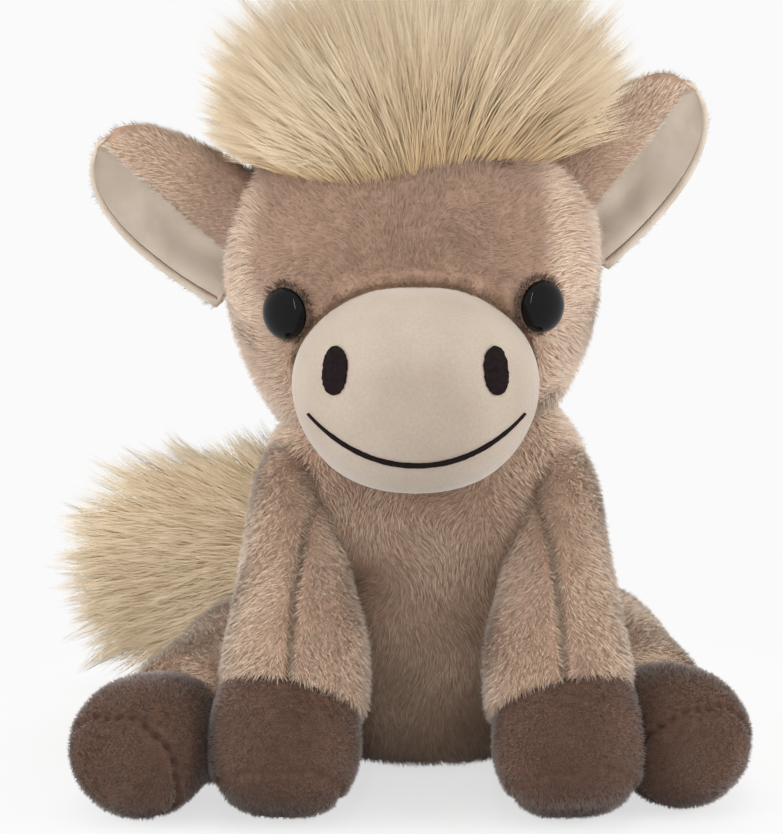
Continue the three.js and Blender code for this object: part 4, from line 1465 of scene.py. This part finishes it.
# %% [markdown]
# The backs of the ears have a shorter coat, combed out to the tip. The lining stays bare.

# %% Coat of the ears
for side, ear in ears.items():
    out = np.array(ear["matrix"].to_3x3() @ Vector((1, 0, 0)))
    front_tree = tree_of(ear["front"])

    def outer_side(points, normals, front_tree=front_tree):
        """Hair only where the ear's lining isn't near on that side."""
        return (-depths(points, [front_tree]) > 1.6 * MM).astype(float)

    def pale_tip(points, ear=ear, out=out):
        """The ear's root is painted darker, as the shade of the fold it lies in, and the rest paler, as
        painted light.
        """
        along = (points - np.array(ear["matrix"].translation)) @ out
        # Painted shade at the root, painted light toward the tip.
        return 0.6 * smooth_step(along, 8 * MM, 30 * MM) - 0.3

    ear_coat = coat(
        f"ear_{side}_coat", ear["back"], 4.4, combed(out), 90 + len(side), outer_side, pale_tip,
        length=2.2 * MM, lean=math.radians(60), mottle=0.12,
    )
    on_body(ear_coat, "ear_" + side)
print("ears have coats")

# %% [markdown]
# ## Mane and tail
# Long pile is real hair cloth with strands of two or three centimetres. It clings in locks: each
# hair leans to the tip of its lock, and the locks fan out. A few hairs lead, one for each lock, and
# every other hair follows the nearest leader, which is quicker than combing them by hand.


# %% Long hair
def shell_reach(roots, aims, middle, halves, power=2.4):
    """How far each hair runs from its root to the surface of a boxy egg."""
    inner, outer = np.zeros(len(roots)), np.full(len(roots), 3 * max(halves))
    for _ in range(24):
        tried = (inner + outer) / 2
        place = (roots + aims * tried[:, None] - middle) / halves
        inside = np.sum(np.abs(place) ** power, axis=1) < 1
        inner, outer = np.where(inside, tried, inner), np.where(inside, outer, tried)
    return inner


def locks(name, roots, normals, tips, bends, lock_count, width, seed, painted_light=0.65, gather=0.35):
    """Long curved hair that gathers in locks. Some of it gathers in thin spikes, a little longer."""
    source = np.random.default_rng(seed)
    leaders = source.choice(len(roots), lock_count, replace=False)
    nearest = np.array([np.argmin(np.sum((roots[leaders] - root) ** 2, axis=1)) for root in roots])
    spiky = source.random(lock_count)[nearest] < 0.45
    spiky &= source.random(len(roots)) < 0.6
    pull = np.where(spiky, 0.9, gather)[:, None]
    goal = tips[leaders][nearest] + (roots - roots[leaders][nearest]) * 0.25
    gathered = tips * (1 - pull) + goal * pull
    longer, shorter = source.uniform(0.98, 1.15, len(roots)), source.uniform(0.8, 1.02, len(roots))
    ends = roots + (gathered - roots) * np.where(spiky, longer, shorter)[:, None]
    t = np.linspace(0, 1, 3)[None, :, None]
    middle = (roots + ends) / 2 + bends
    paths = (1 - t) ** 2 * roots[:, None] + 2 * t * (1 - t) * middle[:, None] + t**2 * ends[:, None]
    paths = paths + source.normal(size=(len(roots), 1, 3)) * 0.8 * MM * np.sin(np.pi * t)
    paths[:, :, 2] = np.maximum(paths[:, :, 2], SKIN_GAP)
    shades = 0.4 * source.random(lock_count)[nearest] + 0.6 * source.random(len(roots))
    # Painted light: a higher level paints the hair paler, as on the tail.
    patches = np.clip(painted_light + 0.2 * drift(roots, 15 * MM, seed + 1), 0, 1)
    widths = width * source.uniform(0.7, 1.2, len(roots))
    return hairs(name, paths, normals, widths, shades, patches, blond_fur, softness=0.96)


print("long hair helpers ready")

# %% [markdown]
# The mane is a tuft of long pile across the top of the head. It fans out from a point low in the
# brow: at the sides it lies nearly flat, and in the middle it stands up. Its hairs end near a boxy
# egg, whose size comes from the plain mane solid.

# %% Mane
TRIED_ROOTS = 160000
LONG_WIDTH = 0.28 * MM
MANE_HAIRS = 21500
MANE_SHIFT = 3 * MM
HAIRLINE = 144.5 * MM
mane_low, mane_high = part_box("mane_tuft")
mane_middle = np.array((mane_low + mane_high) / 2) + [0, 0, -6 * MM]
mane_halves = np.array([(mane_high.x - mane_low.x) / 2, 30 * MM, 34 * MM])
source = np.random.default_rng(5)
places, normals = scattered(head_skin, TRIED_ROOTS, source)
offset = places - np.array(head_middle)
line = HAIRLINE + 1.5 * MM * np.sin(offset[:, 0] / (9 * MM)) + 0.045 * offset[:, 0]
in_tuft = (places[:, 2] > line) & (offset[:, 1] < 18 * MM)
roots, normals = places[in_tuft][:MANE_HAIRS], normals[in_tuft][:MANE_HAIRS]
fan = np.array([head_middle.x + MANE_SHIFT, mane_middle[1] + 5 * MM, 129 * MM])
aim = (roots - fan) * [1.15, 0.12, 1.0] + [0, 0, 3 * MM]
aim = unit(unit(aim) + 0.13 * source.normal(size=aim.shape))
length = np.clip(shell_reach(roots, aim, mane_middle, mane_halves), 9 * MM, 46 * MM)
tips = roots + aim * length[:, None]
bends = np.tile([0, -1.5 * MM, 3.0 * MM], (len(roots), 1))
bends[:, 0] = -2.5 * MM * (offset[in_tuft][:MANE_HAIRS, 0] / (41 * MM))
outward = unit(unit(tips - mane_middle) + np.array([0, -0.35, 0.2]))
mane = locks("mane_hair", roots, outward, tips, bends, 900, LONG_WIDTH, 6, gather=0.25)
on_body(mane, "head", ["mane_tuft"])
print("mane:", len(roots), "hairs, up to", round(length.max() / MM), "mm")

# %% [markdown]
# The crest carries the mane on down the back of the head as a narrow strip. Its hairs are shorter
# and fall down the neck.

# %% Crest down the back of the head
CREST_HAIRS = 8000
crest_low, crest_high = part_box("mane_crest")
crest_middle = np.array((crest_low + crest_high) / 2)
crest_halves = np.array((crest_high - crest_low) / 2)
places, normals = scattered(head_skin, TRIED_ROOTS, source)
in_crest = np.abs(places[:, 0] - crest_middle[0]) < crest_halves[0] * 0.8
in_crest &= places[:, 1] > head_middle.y
in_crest &= (places[:, 2] > crest_low.z + 2 * MM) & (places[:, 2] < mane_high.z)
roots, normals = places[in_crest][:CREST_HAIRS], normals[in_crest][:CREST_HAIRS]
aim = unit(normals + np.array([0, 0.1, -0.45]) + 0.16 * source.normal(size=roots.shape))
length = np.clip(shell_reach(roots, aim, crest_middle, crest_halves * 1.05), 7 * MM, 20 * MM)
tips = roots + aim * length[:, None]
bends = np.tile(np.array([0, 1.5 * MM, 1.5 * MM]), (len(roots), 1))
crest = locks("crest_hair", roots, normals, tips, bends, 200, 0.3 * MM, 8)
on_body(crest, "head", ["mane_crest"])
print("crest:", len(roots), "hairs")

# %% [markdown]
# The tail is a flat tuft of the same pile as the mane, sewn on at its root. Its core is lofted thin,
# and its pile stands off the core and leans to the tail's end.

# %% Tail
TAIL_HAIRS = 21500
TAIL_PILE = 13 * MM
TAIL_THICK = 10.5 * MM
TAIL_FLOOR = 1.0 * MM
SHORTEST, LONGEST = 7 * MM, 22 * MM
TAIL_RINGS = [
    (0.00, 0.30, 0.30),
    (0.05, 0.55, 0.52),
    (0.22, 0.88, 0.84),
    (0.48, 1.00, 1.00),
    (0.72, 0.90, 0.92),
    (0.90, 0.62, 0.66),
    (1.00, 0.34, 0.36),
]
tail_low, tail_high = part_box("tail_tuft")
tail_root = joints["tail_sway"]
tail_middle = (tail_low + tail_high) / 2
tail_aim = (tail_middle - tail_root).normalized()
tail_side = Vector((0, 0, 1)).cross(tail_aim).normalized()
tail_up = tail_aim.cross(tail_side)
tail_turn = Matrix((tail_side, tail_up, tail_aim)).transposed().to_4x4()
tail_matrix = Matrix.Translation(tail_middle) @ tail_turn
half_up = (tail_high.z - tail_low.z) / 2
half_along = (tail_middle - tail_root).length + 5 * MM
core_high = Vector((TAIL_THICK - 5 * MM, half_up - 0.8 * TAIL_PILE, half_along - 0.9 * TAIL_PILE))
core_low = Vector((-core_high.x, -core_high.y, -half_along + 2 * MM))
core = placed(lofted("tail_core", core_low, core_high, TAIL_RINGS), tail_matrix)
on_body(dressed(core, blond_skin), "tail", ["tail_tuft"])
roots, normals = scattered(core, TAIL_HAIRS, source)
away = unit(roots - np.array(tail_root))
aim = unit(normals * 0.5 + away * 0.85 + 0.12 * source.normal(size=roots.shape))
aim = unit(aim - np.outer(aim @ np.array(tail_side), np.array(tail_side)) * 0.35)
turned = np.array(tail_turn.to_3x3())
tail_halves = np.array([TAIL_THICK, half_up + 4 * MM, half_along + 6 * MM])
own_roots = (roots - np.array(tail_middle)) @ turned
reach = shell_reach(own_roots, aim @ turned, np.zeros(3), tail_halves, power=3.0)
tips = roots + aim * np.clip(reach, SHORTEST, LONGEST)[:, None]
tips[:, 2] = np.maximum(tips[:, 2], TAIL_FLOOR)
# The tail's level of 0.95, against the mane's 0.65, paints it paler: painted light from the side.
tail = locks("tail_hair", roots, normals, tips, normals * 1.5 * MM, 900, LONG_WIDTH, 9, 0.95, 0.25)
on_body(tail, "tail")
print("tail:", len(roots), "hairs")

# %% [markdown]
# ## Studio
# The toy sits on a pale floor that shows nearly white, and keeps its shadow. A real studio would
# bend a sheet of paper up behind the toy. Here the backdrop is a plain colour that only the camera
# sees, and the light that it sends on the toy is set apart from it.


# %% Backdrop and the floor's finish
BACKGROUND = seen(250, 250, 250)
FLOOR_GREY = 0.86
SHADOW_FROM, SHADOW_TO = 0.07, 0.14
FLOOR_DROP = 0.2 * MM
ROOM_LIGHT = 0.42


def larger(tree, first, second):
    """The larger of two values."""
    return node(tree, "ShaderNodeMath", {0: first, 1: second}, operation="MAXIMUM").outputs[0]


def background_rays(tree):
    """1 for rays that show the background: the camera's own, and those off gloss and through glass."""
    rays = node(tree, "ShaderNodeLightPath").outputs
    first = larger(tree, rays["Is Camera Ray"], rays["Is Glossy Ray"])
    return larger(tree, first, rays["Is Transmission Ray"])


def pale_floor():
    """Matt near the toy, where it keeps its shadow, and as bright as the backdrop farther out."""
    sockets = {"Base_Color": grey(FLOOR_GREY), "Specular_IOR_Level": 0.0}
    material, tree, shader = new_material("pale floor", 1.0, **sockets)
    place = node(tree, "ShaderNodeTexCoord").outputs["Object"]
    far = node(tree, "ShaderNodeVectorMath", {0: place}, operation="LENGTH").outputs["Value"]
    rising = {"Value": far, "From Min": SHADOW_FROM, "From Max": SHADOW_TO, "To Min": 0.7, "To Max": 1.0}
    share = node(tree, "ShaderNodeMapRange", rising, interpolation_type="SMOOTHSTEP").outputs[0]
    shown = node(tree, "ShaderNodeMath", {0: background_rays(tree), 1: share}, operation="MULTIPLY")
    glow = node(tree, "ShaderNodeEmission", {"Color": BACKGROUND, "Strength": 1.0})
    shaders = {0: shown.outputs[0], 1: shader.outputs[0], 2: glow.outputs[0]}
    both = node(tree, "ShaderNodeMixShader", shaders)
    tree.links.new(both.outputs[0], tree.nodes["Material Output"].inputs["Surface"])
    return material


print("background:", [round(value, 2) for value in BACKGROUND[:3]], "as light")

# %% [markdown]
# The floor is one wide plane, a little below the toy so that the two never flicker through each
# other. It and the lamps belong to the studio and not to the toy.

# %% Floor and room
bpy.ops.object.select_all(action="DESELECT")
bpy.ops.mesh.primitive_plane_add(size=4, location=(0, 0, 0))
floor = dressed(bpy.context.object, pale_floor())
floor.name = "floor"
floor.data.transform(Matrix.Translation((0, 0, -FLOOR_DROP)))

world = bpy.data.worlds.new("studio")
bpy.context.scene.world = world
world.use_nodes = True
tree = world.node_tree
background = tree.nodes["Background"]
background.inputs["Color"].default_value = (1, 1, 1, 1)
background.inputs["Strength"].default_value = ROOM_LIGHT
shown = node(tree, "ShaderNodeBackground", {"Color": BACKGROUND, "Strength": 1.0})
shaders = {0: background_rays(tree), 1: background.outputs[0], 2: shown.outputs[0]}
both = node(tree, "ShaderNodeMixShader", shaders)
tree.links.new(both.outputs[0], tree.nodes["World Output"].inputs["Surface"])
print("the floor lies", round(FLOOR_DROP / MM, 1), "mm below the toy")

# %% [markdown]
# Two large lamps at the sides light the pile, a lamp behind lights its edge, and a weak one above
# softens the chin's shadow. A narrow one in front makes the upright gleam in each eye.


# %% Lamps
def lamp(name, place, target, width, height, power, glossy=False):
    """A soft lamp that faces a target. Only a glossy one shows in the eyes."""
    light = bpy.data.lights.new(name, "AREA")
    light.shape = "RECTANGLE"
    light.size = width
    light.size_y = height
    light.energy = power
    made = bpy.data.objects.new(name, light)
    made.location = place
    made.rotation_euler = (Vector(target) - Vector(place)).to_track_quat("-Z", "Y").to_euler()
    made.visible_glossy = glossy
    bpy.context.scene.collection.objects.link(made)
    return made


CHEST = (0, 0, 0.09)
lamp("left", (-0.93, -0.35, 0.4), CHEST, 0.6, 0.8, 8.7)
lamp("right", (0.93, -0.35, 0.4), CHEST, 0.6, 0.8, 8.7)
lamp("behind", (0.0, 0.95, 0.55), CHEST, 0.9, 0.5, 6)
lamp("above", (0.0, -0.3, 1.1), CHEST, 0.5, 0.5, 2.4)
lamp("front", (-0.05, -0.95, 0.75), CHEST, 0.03, 0.8, 2.0, glossy=True)

# %% [markdown]
# ## Camera
# The photograph looks a little down on the toy from near by. Its distance and rise are judged from
# how the hooves and the muzzle foreshorten.

# %% Camera
CAMERA_DISTANCE = 0.75
CAMERA_RISE = math.radians(10)
CAMERA_TARGET = Vector((-8 * MM, -17 * MM, 84 * MM))
FOCAL = 135.97
camera_data = bpy.data.cameras.new("camera")
camera_data.lens = FOCAL
camera_data.sensor_width = 36
camera = bpy.data.objects.new("camera", camera_data)
back_and_up = Vector((0, -math.cos(CAMERA_RISE), math.sin(CAMERA_RISE)))
camera.location = CAMERA_TARGET + CAMERA_DISTANCE * back_and_up
camera.rotation_euler = (math.pi / 2 - CAMERA_RISE, 0, 0)
bpy.context.scene.collection.objects.link(camera)
bpy.context.scene.camera = camera
bpy.context.scene.view_settings.view_transform = "Standard"
print("camera at", [round(v, 3) for v in camera.location])

# %% [markdown]
# ## Finish
# We count the faces of the shown objects.

# %% Finish
shown_faces = sum(len(o.data.polygons) for o in bpy.data.objects if o.type == "MESH" and not o.hide_render)
print("faces in all:", shown_faces)
